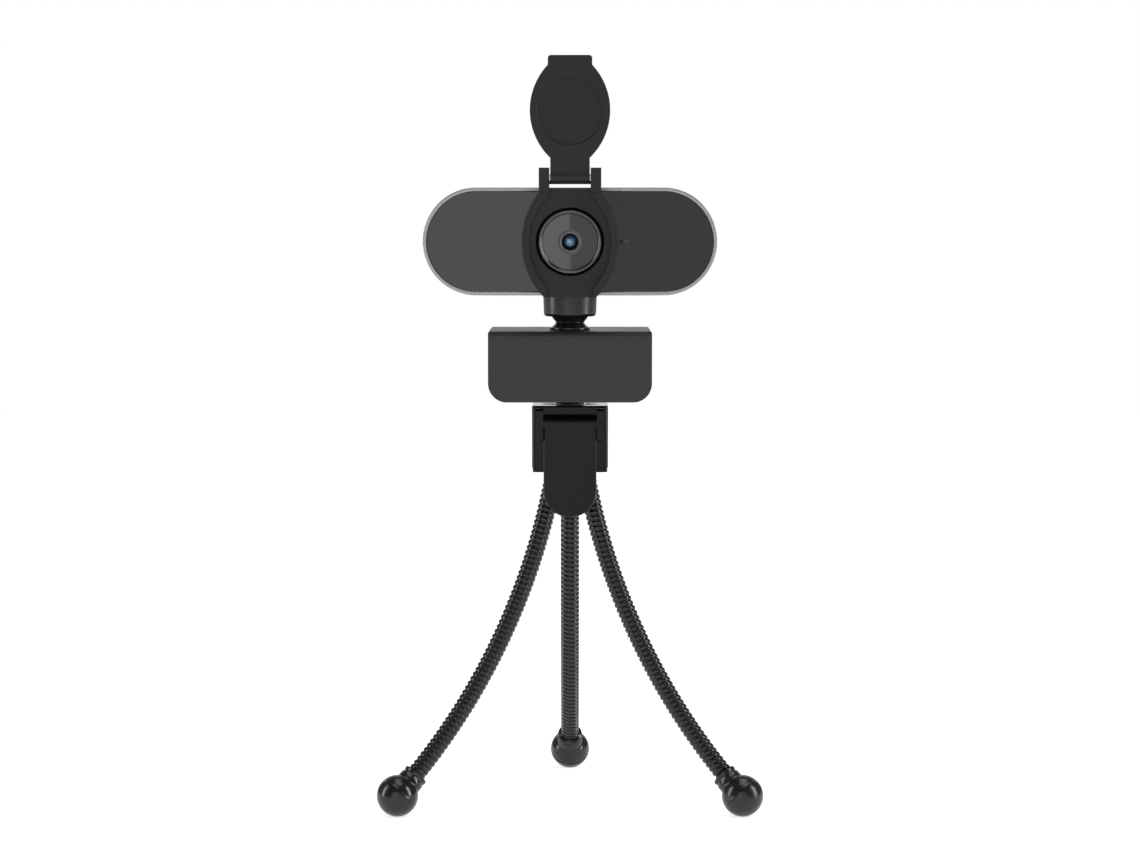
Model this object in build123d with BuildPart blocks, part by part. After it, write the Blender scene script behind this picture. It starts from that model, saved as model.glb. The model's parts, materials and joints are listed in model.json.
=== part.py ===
from build123d import *
import os
from math import atan2, cos, degrees, radians, sin, sqrt

# Webcam with a monitor clip and a hinged lens cover, screwed on a flexible mini tripod.
# Millimetres, +Z up. The lens looks along -Y, and +X is to the viewer's right.
# The origin is on the floor, under the middle of the three feet's box.

os.makedirs("parts", exist_ok=True)

# ---------------------------------------------------------------- driving dimensions
# flexible tripod
FOOT_CIRCLE_R = 62.0          # foot balls from the tripod axis
FOOT_BALL_R = 6.5
FOOT_BALL_Z = 6.3             # the balls are worn flat where they stand
LEG_TUBE_R = 3.0
LEG_START_R = 6.0             # first leg joint from the tripod axis
LEG_START_ANGLE = 12.5        # from the vertical
LEG_SEGMENTS = ("upper", "middle", "lower")
KNUCKLE_R = 3.15              # ball end of each gooseneck segment
KNUCKLE_GAP = 0.1
KNUCKLE_RIM = 2.0             # a socket ends this far short of the ball's centre
LEG_DIRECTIONS = {"right": -30, "rear": 90, "left": 210}
HUB_Y = -FOOT_CIRCLE_R / 4    # puts the feet's box in the middle

# tripod head
HUB_WIDTH, HUB_DEPTH = 24.0, 20.0
HUB_BOTTOM_Z, HUB_TOP_Z = 105.5, 126.5
BASE_PLATE_T = 1.5
FERRULE_R, FERRULE_LENGTH = 3.5, 6.5
TRIPOD_BALL_R, TRIPOD_BALL_Z = 5.5, 124.0
TRIPOD_NECK_R = 2.6
CUP_R, CUP_NECK_R = 7.9, 6.9
CUP_FLOOR_Z, CUP_SHOULDER_Z = 116.6, 125.2
RETAINER_R = 9.0
RUNNING_GAP = 0.05
LEVER_WIDTH, LEVER_T = 16.6, 3.2
LEVER_PIN_Y, LEVER_PIN_Z = HUB_Y - 12.9, 121.2
LEVER_PIN_R, LEVER_HUB_R = 1.2, 2.5
LEVER_BOTTOM_Z = 91.7
EAR_T, EAR_INNER_X = 2.3, 8.45
EAR_BOTTOM_Z, EAR_FRONT_Y = 115.5, HUB_Y - 15.4
PLUNGER_R = 2.0
PLATFORM_R, PLATFORM_Z, PLATFORM_T = 9.0, 130.0, 2.3
PLATFORM_PAD_T = 1.2
CAMERA_SCREW_R, CAMERA_SCREW_TOP_Z = 3.1, 138.6     # 1/4 inch camera thread
CAMERA_SHANK_R = 1.6

# monitor clip, leg folded under the jaw
CLIP_WIDTH = 51.2
JAW_TOP_Z, LIP_BOTTOM_Z = 150.2, 128.0
JAW_FRONT_Y = HUB_Y - 18.7
LIP_T, JAW_PLATE_T, LINER_T = 2.2, 4.8, 0.8
HINGE_Y, HINGE_Z = HUB_Y + 27.8, 143.1
HINGE_BARREL_R, HINGE_PIN_R = 5.5, 2.0
HINGE_SPLIT_X = 12.2          # jaw knuckles lie outside this, the leg's inside
HINGE_MOUTH_R, HINGE_MOUTH_DEPTH = 4.0, 3.0
LEG_WIDTH, LEG_REACH = 50.0, 42.5
LEG_OUTER_Z, LEG_INNER_Z = 133.5, 142.5
LEG_REAR_Y = HINGE_Y - 6.0
PAD_T, COVER_PLATE_T, LEG_WALL = 2.0, 1.2, 1.8
INSERT_R, INSERT_LENGTH = 4.5, 5.5

# neck ball joint
NECK_Y = HUB_Y - 6.0
NECK_BALL_R, NECK_BALL_Z = 6.5, 157.6
STUD_FLANGE_R, STUD_WAIST_R = 6.3, 4.4
NECK_R, NECK_BOTTOM_R, NECK_BOTTOM_Z = 8.45, 8.2, 154.6
TENSION_SCREW_R = 1.5
COUNTERBORE_R, COUNTERBORE_Z = 4.2, 147.6

# webcam head
HEAD_WIDTH, HEAD_HEIGHT, HEAD_DEPTH = 92.0, 33.7, 17.2
LENS_Z = 178.2
FACE_Y = NECK_Y - 8.9
RIM_DEPTH, RIM_WIDTH = 2.2, 1.2
HOUSING_WALL, HOUSING_TAPER = 1.6, 1.5
PANEL_T = 1.4
COLLAR_R, COLLAR_TOP_R, COLLAR_H = 12.1, 11.4, 1.4
BARREL_R, BARREL_FRONT_R, BARREL_H = 10.3, 9.8, 9.5
COVER_GLASS_R, COVER_GLASS_T = 8.65, 0.8
LENS_RING_R, LENS_RING_BORE = 3.25, 2.55
LENS_TUBE_R = 5.0
BOARD_FRONT, BOARD_T = 8.6, 1.2
SLOT_X, SLOT_WIDTH, SLOT_HEIGHT = 17.0, 3.8, 1.5
GROMMET_Z, GROMMET_R, CABLE_R = 172.0, 3.4, 1.9

# lens cover
COVER_R, COVER_DEPTH = 14.95, 11.0
LID_HINGE_Y, LID_HINGE_Z = FACE_Y - 10.8, 198.3
LID_R, LID_T, LID_REACH = 12.4, 2.0, LID_HINGE_Z - LENS_Z
LID_HINGE_WIDTH, LID_TAB_WIDTH = 12.2, 13.7
LID_SHOULDER = 14.3           # the disc ends this far from its centre, above and below
LID_TAB_END = 37.4            # from the hinge
LID_RECESS_R, LID_RECESS_DEPTH = 10.3, 0.6
EAR_TOP_Z = 201.1
COVER_EARS_WIDTH, COVER_FOOT_WIDTH = 19.3, 16.1
COVER_SHOULDER_Z, COVER_BOTTOM_Z = 193.4, 161.0
LID_CLEARANCE = 0.4
COVER_FLOOR_FRONT, COVER_FLOOR_T = 8.9, 1.5
LID_PIN_R, LID_KNUCKLE_R = 0.8, 1.6

HEAD_BOTTOM_Z = LENS_Z - HEAD_HEIGHT / 2


def finish(builder, label):
    """Labels a finished piece and writes its file."""
    builder.part.label = label
    export_step(builder.part, f"parts/{label}.step")


def level(z, x=0.0, y=0.0):
    """A horizontal plane, facing up."""
    return Plane(origin=(x, y, z))


def hub_level(z):
    """A horizontal plane centred on the tripod's axis."""
    return level(z, y=HUB_Y)


def neck_level(z):
    """A horizontal plane centred on the neck's axis."""
    return level(z, y=NECK_Y)


def facing(y, x=0.0, z=LENS_Z):
    """An upright plane that looks the way the lens does: its x is +X and its y is +Z."""
    return Plane(origin=(x, y, z), x_dir=(1, 0, 0), z_dir=(0, -1, 0))


def backing(y, x=0.0, z=LENS_Z):
    """An upright plane that looks backwards, with its y along +Z."""
    return Plane(origin=(x, y, z), x_dir=(-1, 0, 0), z_dir=(0, 1, 0))


def side(x=0.0, y=0.0, z=0.0):
    """An upright plane that looks along +X: its x is +Y and its y is +Z."""
    return Plane(origin=(x, y, z), x_dir=(0, 1, 0), z_dir=(1, 0, 0))


def revolve_about(axis_plane, *points):
    """Turns a closed (radius, height) outline about the plane's normal."""
    section = Plane(origin=axis_plane.origin, x_dir=axis_plane.x_dir, z_dir=-axis_plane.y_dir)
    with BuildPart() as turned:
        with BuildSketch(section):
            with BuildLine():
                Polyline(*points, close=True)
            make_face()
        revolve(axis=Axis(axis_plane.origin, axis_plane.z_dir))
    return turned


def cylinder_along_x(radius, x_low, x_high, y, z, mode=Mode.ADD):
    """Adds or cuts a cylinder along X in the part being built."""
    with Locations(((x_low + x_high) / 2, y, z)):
        Cylinder(radius, x_high - x_low, rotation=(0, 90, 0), mode=mode)


# ---------------------------------------------------------------- flexible legs
LEG_TOP_Z = HUB_BOTTOM_Z - KNUCKLE_RIM
LEG_RUN = FOOT_CIRCLE_R - LEG_START_R
LEG_DROP = LEG_TOP_Z - FOOT_BALL_Z
# The leg is one arc, so its chord's slope is the mean of its first and last slopes.
LEG_END_ANGLE = 2 * degrees(atan2(LEG_RUN, LEG_DROP)) - LEG_START_ANGLE
LEG_ARC_R = LEG_DROP / (sin(radians(LEG_END_ANGLE)) - sin(radians(LEG_START_ANGLE)))
ARC_CENTRE_R = LEG_START_R + LEG_ARC_R * cos(radians(LEG_START_ANGLE))
ARC_CENTRE_Z = LEG_TOP_Z + LEG_ARC_R * sin(radians(LEG_START_ANGLE))
SEGMENT_ANGLE = (LEG_END_ANGLE - LEG_START_ANGLE) / len(LEG_SEGMENTS)
RIM_ANGLE = degrees(KNUCKLE_RIM / LEG_ARC_R)


def leg_plane(direction):
    """The upright plane of a leg: its x points outwards along the floor, its y points up."""
    outwards = Vector(cos(radians(direction)), sin(radians(direction)), 0)
    return Plane(origin=(0, HUB_Y, 0), x_dir=outwards, z_dir=outwards.cross(Vector(0, 0, 1)))


def leg_point(plane, angle):
    """The point of a leg's centre line where it leans by this angle from the vertical."""
    lean = radians(angle)
    return plane.from_local_coords((ARC_CENTRE_R - LEG_ARC_R * cos(lean), ARC_CENTRE_Z - LEG_ARC_R * sin(lean), 0))


def leg_tangent(plane, angle):
    """The direction of a leg's centre line there, towards the foot."""
    lean = radians(angle)
    return plane.x_dir * sin(lean) - plane.y_dir * cos(lean)


def gooseneck(plane, index):
    """One gooseneck segment: a ball end above, and a socket below for the next one."""
    start = LEG_START_ANGLE + index * SEGMENT_ANGLE
    end = start + SEGMENT_ANGLE - RIM_ANGLE
    with BuildPart() as segment:
        with BuildLine(plane):
            CenterArc((ARC_CENTRE_R, ARC_CENTRE_Z), LEG_ARC_R, 180 + start, end - start)
        with BuildSketch(Plane(origin=leg_point(plane, start), z_dir=leg_tangent(plane, start))):
            Circle(LEG_TUBE_R)
        sweep()
        with Locations(leg_point(plane, start)):
            Sphere(KNUCKLE_R)
        if index < len(LEG_SEGMENTS) - 1:
            with Locations(leg_point(plane, start + SEGMENT_ANGLE)):
                Sphere(KNUCKLE_R + KNUCKLE_GAP, mode=Mode.SUBTRACT)
    return segment


def ball_foot(plane):
    """A rubber ball pushed over the end of a leg, worn flat underneath."""
    centre = leg_point(plane, LEG_END_ANGLE)
    tangent = leg_tangent(plane, LEG_END_ANGLE)
    with BuildPart() as foot:
        with Locations(centre):
            Sphere(FOOT_BALL_R)
        with BuildSketch(Plane(origin=centre - tangent * KNUCKLE_RIM, z_dir=-tangent)):
            Circle(LEG_TUBE_R + 0.35)
        extrude(amount=FOOT_BALL_R, mode=Mode.SUBTRACT)
        split(bisect_by=level(0), keep=Keep.TOP)
    return foot


for leg_name, leg_direction in LEG_DIRECTIONS.items():
    leg = leg_plane(leg_direction)
    for segment_index, segment_name in enumerate(LEG_SEGMENTS):
        finish(gooseneck(leg, segment_index), f"gooseneck_{leg_name}_{segment_name}")
    finish(ball_foot(leg), f"ball_foot_{leg_name}")

with BuildPart() as leg_ferrules:
    for leg_direction in LEG_DIRECTIONS.values():
        leg = leg_plane(leg_direction)
        joint_centre = leg_point(leg, LEG_START_ANGLE)
        upwards = -leg_tangent(leg, LEG_START_ANGLE)
        with BuildSketch(Plane(origin=joint_centre + upwards * KNUCKLE_RIM, z_dir=upwards)):
            Circle(FERRULE_R)
        extrude(amount=FERRULE_LENGTH)
        with Locations(joint_centre):
            Sphere(KNUCKLE_R + KNUCKLE_GAP, mode=Mode.SUBTRACT)
finish(leg_ferrules, "leg_ferrules")


def cut_ferrule_holes():
    """Cuts the three slanted ferrule holes in the part being built."""
    for direction in LEG_DIRECTIONS.values():
        plane = leg_plane(direction)
        up = -leg_tangent(plane, LEG_START_ANGLE)
        low = leg_point(plane, LEG_START_ANGLE)
        with BuildSketch(Plane(origin=low, z_dir=up)) as hole:
            Circle(FERRULE_R)
        extrude(hole.sketch, amount=KNUCKLE_RIM + FERRULE_LENGTH, mode=Mode.SUBTRACT)


# ---------------------------------------------------------------- tripod head
BLOCK_FLOOR_Z = HUB_BOTTOM_Z + BASE_PLATE_T
HUB_SCREW_R, HUB_SCREW_HEAD_R, HUB_SCREW_TOP_Z = 0.7, 1.6, 110.5
HUB_SCREW_HEAD_T = 1.0
EAR_DEPTH = HUB_Y - HUB_DEPTH / 2 - EAR_FRONT_Y

with BuildPart() as hub_block:
    with BuildSketch(hub_level(BLOCK_FLOOR_Z)):
        RectangleRounded(HUB_WIDTH, HUB_DEPTH, 1.5)
    extrude(amount=HUB_TOP_Z - BLOCK_FLOOR_Z)
    fillet(hub_block.edges().group_by(Axis.Z)[-1], 0.6)
    # two ears in front carry the lever's pin
    for ear_side in (-1, 1):
        ear_x = ear_side * (EAR_INNER_X + EAR_T / 2)
        with BuildSketch(level(EAR_BOTTOM_Z, ear_x, EAR_FRONT_Y + EAR_DEPTH / 2 + 0.5)):
            Rectangle(EAR_T, EAR_DEPTH + 1.0)
        extrude(amount=HUB_TOP_Z - 0.6 - EAR_BOTTOM_Z)
    fillet(hub_block.edges().group_by(Axis.Y)[0].filter_by(Axis.X), 1.0)
    # bore for the friction cup, with a step for its retainer
    with BuildSketch(hub_level(CUP_FLOOR_Z)):
        Circle(CUP_R + RUNNING_GAP)
    extrude(amount=HUB_TOP_Z - CUP_FLOOR_Z, mode=Mode.SUBTRACT)
    with BuildSketch(hub_level(CUP_SHOULDER_Z + 0.1)):
        Circle(RETAINER_R)
    extrude(amount=HUB_TOP_Z - CUP_SHOULDER_Z, mode=Mode.SUBTRACT)
    # the brake plunger runs from the cup's bore to the lever
    with BuildSketch(facing(HUB_Y, z=LEVER_PIN_Z)):
        Circle(PLUNGER_R)
    extrude(amount=HUB_DEPTH, mode=Mode.SUBTRACT)
    cylinder_along_x(LEVER_PIN_R, -HUB_WIDTH / 2, HUB_WIDTH / 2, LEVER_PIN_Y, LEVER_PIN_Z, Mode.SUBTRACT)
    with BuildSketch(hub_level(BLOCK_FLOOR_Z)):
        Circle(HUB_SCREW_R)
    extrude(amount=HUB_SCREW_TOP_Z - BLOCK_FLOOR_Z, mode=Mode.SUBTRACT)
    cut_ferrule_holes()
finish(hub_block, "hub_block")

with BuildPart() as hub_base_plate:
    with BuildSketch(hub_level(HUB_BOTTOM_Z)):
        RectangleRounded(HUB_WIDTH - 0.4, HUB_DEPTH - 0.4, 1.3)
    extrude(amount=BASE_PLATE_T)
    with BuildSketch(hub_level(HUB_BOTTOM_Z)):
        Circle(HUB_SCREW_R)
    extrude(amount=BASE_PLATE_T, mode=Mode.SUBTRACT)
    with BuildSketch(hub_level(HUB_BOTTOM_Z)):
        Circle(HUB_SCREW_HEAD_R)
    extrude(amount=HUB_SCREW_HEAD_T, mode=Mode.SUBTRACT)
    cut_ferrule_holes()
finish(hub_base_plate, "hub_base_plate")

hub_screw = revolve_about(
    hub_level(HUB_BOTTOM_Z),
    (0, 0.1),
    (HUB_SCREW_HEAD_R, 0.1),
    (HUB_SCREW_HEAD_R, HUB_SCREW_HEAD_T),
    (HUB_SCREW_R, HUB_SCREW_HEAD_T),
    (HUB_SCREW_R, HUB_SCREW_TOP_Z - HUB_BOTTOM_Z - 0.5),
    (0, HUB_SCREW_TOP_Z - HUB_BOTTOM_Z),
)
finish(hub_screw, "hub_screw")

with BuildPart() as friction_cup:
    with BuildSketch(hub_level(CUP_FLOOR_Z)):
        Circle(CUP_R)
    extrude(amount=CUP_SHOULDER_Z - CUP_FLOOR_Z)
    with BuildSketch(hub_level(CUP_SHOULDER_Z)):
        Circle(CUP_NECK_R)
    extrude(amount=HUB_TOP_Z - CUP_SHOULDER_Z)
    with Locations((0, HUB_Y, TRIPOD_BALL_Z)):
        Sphere(TRIPOD_BALL_R + RUNNING_GAP, mode=Mode.SUBTRACT)
finish(friction_cup, "friction_cup")

with BuildPart() as socket_retainer:
    with BuildSketch(hub_level(CUP_SHOULDER_Z + 0.1)):
        Circle(RETAINER_R)
        Circle(CUP_NECK_R + RUNNING_GAP, mode=Mode.SUBTRACT)
    extrude(amount=HUB_TOP_Z - CUP_SHOULDER_Z - 0.1)
finish(socket_retainer, "socket_retainer")

PLUNGER_INNER, PLUNGER_OUTER = CUP_R + 0.1, HUB_DEPTH / 2 + 0.35
with BuildPart() as brake_plunger:
    with BuildSketch(facing(HUB_Y - PLUNGER_INNER, z=LEVER_PIN_Z)):
        Circle(PLUNGER_R)
    extrude(amount=PLUNGER_OUTER - PLUNGER_INNER)
finish(brake_plunger, "brake_plunger")

with BuildPart() as lever_pin:
    pin_reach = EAR_INNER_X + EAR_T
    cylinder_along_x(LEVER_PIN_R, -pin_reach, pin_reach, LEVER_PIN_Y, LEVER_PIN_Z)
finish(lever_pin, "lever_pin")

LEVER_FRONT_Y = LEVER_PIN_Y - LEVER_HUB_R
with BuildPart() as lock_lever:
    # a flat tongue with a round end hangs from a barrel on the pin
    with BuildSketch(facing(LEVER_FRONT_Y + LEVER_T, z=0)):
        with Locations((0, LEVER_BOTTOM_Z + LEVER_WIDTH / 2)):
            Circle(LEVER_WIDTH / 2)
        with Locations((0, LEVER_BOTTOM_Z + LEVER_WIDTH / 2)):
            Rectangle(LEVER_WIDTH, LEVER_PIN_Z - LEVER_BOTTOM_Z - LEVER_WIDTH / 2, align=(Align.CENTER, Align.MIN))
    extrude(amount=LEVER_T)
    fillet(lock_lever.faces().sort_by(Axis.Y)[0].edges().filter_by(Axis.X, reverse=True), 0.7)
    cylinder_along_x(LEVER_HUB_R, -LEVER_WIDTH / 2, LEVER_WIDTH / 2, LEVER_PIN_Y, LEVER_PIN_Z)
    lever_bore = LEVER_PIN_R + RUNNING_GAP
    cylinder_along_x(lever_bore, -LEVER_WIDTH / 2, LEVER_WIDTH / 2, LEVER_PIN_Y, LEVER_PIN_Z, Mode.SUBTRACT)
finish(lock_lever, "lock_lever")

with BuildPart() as tripod_ball:
    with Locations((0, HUB_Y, TRIPOD_BALL_Z)):
        Sphere(TRIPOD_BALL_R)
    with BuildSketch(hub_level(TRIPOD_BALL_Z)):
        Circle(TRIPOD_NECK_R)
    extrude(amount=PLATFORM_Z - TRIPOD_BALL_Z)
    with BuildSketch(hub_level(TRIPOD_BALL_Z)):
        Circle(CAMERA_SHANK_R)
    extrude(amount=PLATFORM_Z - TRIPOD_BALL_Z, mode=Mode.SUBTRACT)
finish(tripod_ball, "tripod_ball")

PLATFORM_TOP_Z = PLATFORM_Z + PLATFORM_T
camera_screw = revolve_about(
    hub_level(0),
    (0, TRIPOD_BALL_Z + 0.3),
    (CAMERA_SHANK_R, TRIPOD_BALL_Z + 0.3),
    (CAMERA_SHANK_R, PLATFORM_Z),
    (CAMERA_SCREW_R, PLATFORM_Z),
    (CAMERA_SCREW_R, CAMERA_SCREW_TOP_Z - 0.8),
    (CAMERA_SCREW_R - 0.8, CAMERA_SCREW_TOP_Z),
    (0, CAMERA_SCREW_TOP_Z),
)
finish(camera_screw, "camera_screw")

with BuildPart() as platform_disc:
    with BuildSketch(hub_level(PLATFORM_Z)):
        Circle(PLATFORM_R)
        Circle(CAMERA_SCREW_R, mode=Mode.SUBTRACT)
    extrude(amount=PLATFORM_T)
    outer_rims = platform_disc.edges().filter_by(GeomType.CIRCLE).sort_by(SortBy.RADIUS)[-2:]
    chamfer(outer_rims, 0.5)
finish(platform_disc, "platform_disc")

with BuildPart() as platform_pad:
    with BuildSketch(hub_level(PLATFORM_TOP_Z)):
        Circle(PLATFORM_R - 0.5)
        Circle(CAMERA_SCREW_R + 0.2, mode=Mode.SUBTRACT)
    extrude(amount=PLATFORM_PAD_T)
finish(platform_pad, "platform_pad")

with BuildPart() as threaded_insert:
    with BuildSketch(hub_level(LEG_OUTER_Z)):
        Circle(INSERT_R)
        Circle(CAMERA_SCREW_R + RUNNING_GAP, mode=Mode.SUBTRACT)
    extrude(amount=INSERT_LENGTH)
finish(threaded_insert, "threaded_insert")

# ---------------------------------------------------------------- clip leg
LEG_TIP_Y = HINGE_Y - LEG_REACH
LEG_SIDE_OUTLINE = (
    (LEG_REAR_Y, LEG_OUTER_Z),
    (LEG_REAR_Y, LEG_INNER_Z),
    (LEG_REAR_Y - 17.0, LEG_INNER_Z),
    (LEG_TIP_Y + 10.0, LEG_INNER_Z + 1.7),
    (LEG_TIP_Y, LEG_OUTER_Z + 4.6),
    (LEG_TIP_Y, LEG_OUTER_Z),
)
LEG_SIDE_RADII = (1.0, 1.0, 14.0, 7.0, 2.0, 2.2)
LEG_TIP_CORNER_R = 9.0
SEAM = 0.3                    # gap all round the rubber pad


def leg_slice(depth_top, depth_bottom, inset, floor=None):
    """A layer of the clip leg between two depths under its inner face, set in from its edges."""
    with BuildPart() as layer:
        with BuildSketch(side(-LEG_WIDTH / 2 + inset)):
            with BuildLine():
                FilletPolyline(*[(y, z - depth_top) for y, z in LEG_SIDE_OUTLINE], radius=LEG_SIDE_RADII, close=True)
            make_face()
        extrude(amount=LEG_WIDTH - 2 * inset)
        if depth_bottom is not None:
            with BuildSketch(side(-LEG_WIDTH)):
                with BuildLine():
                    outline = [(y, z - depth_bottom) for y, z in LEG_SIDE_OUTLINE]
                    FilletPolyline(*outline, radius=LEG_SIDE_RADII, close=True)
                make_face()
            extrude(amount=2 * LEG_WIDTH, mode=Mode.SUBTRACT)
        if floor is not None:
            split(bisect_by=level(floor), keep=Keep.TOP)
        # plan outline: square at the hinge, large corners at the tip
        low_y, high_y = LEG_TIP_Y + inset, LEG_REAR_Y - inset
        half = LEG_WIDTH / 2 - inset
        corner = LEG_TIP_CORNER_R - inset
        with BuildSketch(level(LEG_OUTER_Z - 10)):
            with BuildLine():
                corners = ((-half, high_y), (-half, low_y), (half, low_y), (half, high_y))
                FilletPolyline(*corners, radius=(1.0, corner, corner, 1.0), close=True)
            make_face()
        extrude(amount=40, mode=Mode.INTERSECT)
    return layer.part


PAD_INSET, PLATE_INSET, CAVITY_INSET = 1.3, 2.1, 3.4
BOSS_R, BOSS_X, BOSS_REAR_Y, BOSS_FRONT_Y = 2.6, 17.5, LEG_REAR_Y - 7.5, LEG_TIP_Y + 13.0
LEG_SCREW_R, LEG_SCREW_HEAD_R, LEG_SCREW_HEAD_T = 0.9, 1.7, 0.9
PLATE_UNDERSIDE_Z = LEG_INNER_Z - PAD_T - COVER_PLATE_T
BOSS_CENTRES = [(x, y) for x in (-BOSS_X, BOSS_X) for y in (BOSS_REAR_Y, BOSS_FRONT_Y)]

with BuildPart() as leg_shell:
    # the pad's pocket, the cover plate's deeper one inside it, and the cavity inside that
    add(leg_slice(0, None, 0))
    add(leg_slice(0, PAD_T, PAD_INSET), mode=Mode.SUBTRACT)
    add(leg_slice(0, PAD_T + COVER_PLATE_T, PLATE_INSET), mode=Mode.SUBTRACT)
    add(leg_slice(0, None, CAVITY_INSET, floor=LEG_OUTER_Z + LEG_WALL), mode=Mode.SUBTRACT)
    # bosses for the tripod thread and for the cover plate's screws
    with BuildPart(mode=Mode.PRIVATE) as bosses:
        with BuildSketch(level(LEG_OUTER_Z + LEG_WALL / 2)):
            with Locations((0, HUB_Y)):
                Circle(INSERT_R + 1.8)
            with Locations(*BOSS_CENTRES):
                Circle(BOSS_R)
        extrude(amount=PLATE_UNDERSIDE_Z - LEG_OUTER_Z - LEG_WALL / 2)
    add(bosses.part)
    # arm and knuckle in the middle of the hinge
    with BuildSketch(side(-HINGE_SPLIT_X + 0.2)):
        with BuildLine():
            Polyline(
                (LEG_REAR_Y - 1.0, LEG_OUTER_Z + 0.8),
                (LEG_REAR_Y + 2.5, LEG_OUTER_Z + 0.8),
                (HINGE_Y, HINGE_Z - HINGE_BARREL_R + 1.2),
                (HINGE_Y, LEG_INNER_Z),
                (LEG_REAR_Y - 1.0, LEG_INNER_Z),
                close=True,
            )
        make_face()
    extrude(amount=2 * (HINGE_SPLIT_X - 0.2))
    cylinder_along_x(HINGE_BARREL_R, -HINGE_SPLIT_X + 0.2, HINGE_SPLIT_X - 0.2, HINGE_Y, HINGE_Z)
    pin_bore = HINGE_PIN_R + RUNNING_GAP
    cylinder_along_x(pin_bore, -CLIP_WIDTH / 2, CLIP_WIDTH / 2, HINGE_Y, HINGE_Z, Mode.SUBTRACT)
    with BuildSketch(hub_level(LEG_OUTER_Z)):
        Circle(INSERT_R)
    extrude(amount=INSERT_LENGTH, mode=Mode.SUBTRACT)
    with BuildSketch(level(LEG_OUTER_Z + LEG_WALL)):
        with Locations(*BOSS_CENTRES):
            Circle(LEG_SCREW_R)
    extrude(amount=PLATE_UNDERSIDE_Z - LEG_OUTER_Z, mode=Mode.SUBTRACT)
finish(leg_shell, "leg_shell")

with BuildPart() as leg_cover_plate:
    add(leg_slice(PAD_T, PAD_T + COVER_PLATE_T, PLATE_INSET))
    with BuildSketch(level(LEG_OUTER_Z)):
        with Locations(*BOSS_CENTRES):
            Circle(LEG_SCREW_R)
    extrude(amount=20, mode=Mode.SUBTRACT)
    with BuildSketch(level(LEG_INNER_Z - PAD_T - LEG_SCREW_HEAD_T)):
        with Locations(*BOSS_CENTRES):
            Circle(LEG_SCREW_HEAD_R)
    extrude(amount=5, mode=Mode.SUBTRACT)
finish(leg_cover_plate, "leg_cover_plate")

with BuildPart() as leg_pad:
    add(leg_slice(0, PAD_T, PAD_INSET + SEAM))
finish(leg_pad, "leg_pad")

with BuildPart() as leg_screws:
    with BuildSketch(level(PLATE_UNDERSIDE_Z - 3.0)):
        with Locations(*BOSS_CENTRES):
            Circle(LEG_SCREW_R)
    extrude(amount=3.0 + COVER_PLATE_T - 0.1)
    with BuildSketch(level(LEG_INNER_Z - PAD_T - LEG_SCREW_HEAD_T)):
        with Locations(*BOSS_CENTRES):
            Circle(LEG_SCREW_HEAD_R)
    extrude(amount=LEG_SCREW_HEAD_T - 0.1)
finish(leg_screws, "leg_screws")

# ---------------------------------------------------------------- clip jaw
PLATE_BOTTOM_Z = JAW_TOP_Z - JAW_PLATE_T
LIP_CORNER_R = 6.0


def jaw_front(bottom, top, half_width, corner):
    """Keeps only what lies inside the jaw's front outline, with its round lower corners."""
    with BuildSketch(facing(JAW_FRONT_Y - 5, z=0)) as outline:
        with BuildLine():
            corners = ((-half_width, top), (-half_width, bottom), (half_width, bottom), (half_width, top))
            FilletPolyline(*corners, radius=(0.7, corner, corner, 0.7), close=True)
        make_face()
    extrude(outline.sketch, amount=-80, mode=Mode.INTERSECT)


with BuildPart() as jaw_shell:
    with BuildSketch(side(-CLIP_WIDTH / 2)):
        with BuildLine():
            FilletPolyline(
                (JAW_FRONT_Y, LIP_BOTTOM_Z),
                (JAW_FRONT_Y, JAW_TOP_Z),
                (HINGE_Y - 3.4, JAW_TOP_Z),
                (HINGE_Y - 0.8, PLATE_BOTTOM_Z),
                (JAW_FRONT_Y + LIP_T, PLATE_BOTTOM_Z),
                (JAW_FRONT_Y + LIP_T, LIP_BOTTOM_Z),
                radius=(0.5, 1.8, 1.2, 0, 0, 0.5),
                close=True,
            )
        make_face()
    extrude(amount=CLIP_WIDTH)
    jaw_front(LIP_BOTTOM_Z, JAW_TOP_Z, CLIP_WIDTH / 2, LIP_CORNER_R)
    for knuckle_low in (-CLIP_WIDTH / 2, HINGE_SPLIT_X):
        knuckle_high = knuckle_low + CLIP_WIDTH / 2 - HINGE_SPLIT_X
        cylinder_along_x(HINGE_BARREL_R, knuckle_low, knuckle_high, HINGE_Y, HINGE_Z)
    cylinder_along_x(HINGE_BARREL_R + SEAM, -HINGE_SPLIT_X, HINGE_SPLIT_X, HINGE_Y, HINGE_Z, Mode.SUBTRACT)
    cylinder_along_x(HINGE_PIN_R, -CLIP_WIDTH / 2, CLIP_WIDTH / 2, HINGE_Y, HINGE_Z, Mode.SUBTRACT)
    for mouth_low in (-CLIP_WIDTH / 2, CLIP_WIDTH / 2 - HINGE_MOUTH_DEPTH):
        mouth_high = mouth_low + HINGE_MOUTH_DEPTH
        cylinder_along_x(HINGE_MOUTH_R, mouth_low, mouth_high, HINGE_Y, HINGE_Z, Mode.SUBTRACT)
    with BuildSketch(neck_level(PLATE_BOTTOM_Z)):
        Circle(COUNTERBORE_R)
    extrude(amount=COUNTERBORE_Z - PLATE_BOTTOM_Z, mode=Mode.SUBTRACT)
    with BuildSketch(neck_level(PLATE_BOTTOM_Z)):
        Circle(TENSION_SCREW_R + 0.08)
    extrude(amount=JAW_PLATE_T, mode=Mode.SUBTRACT)
finish(jaw_shell, "jaw_shell")

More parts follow.
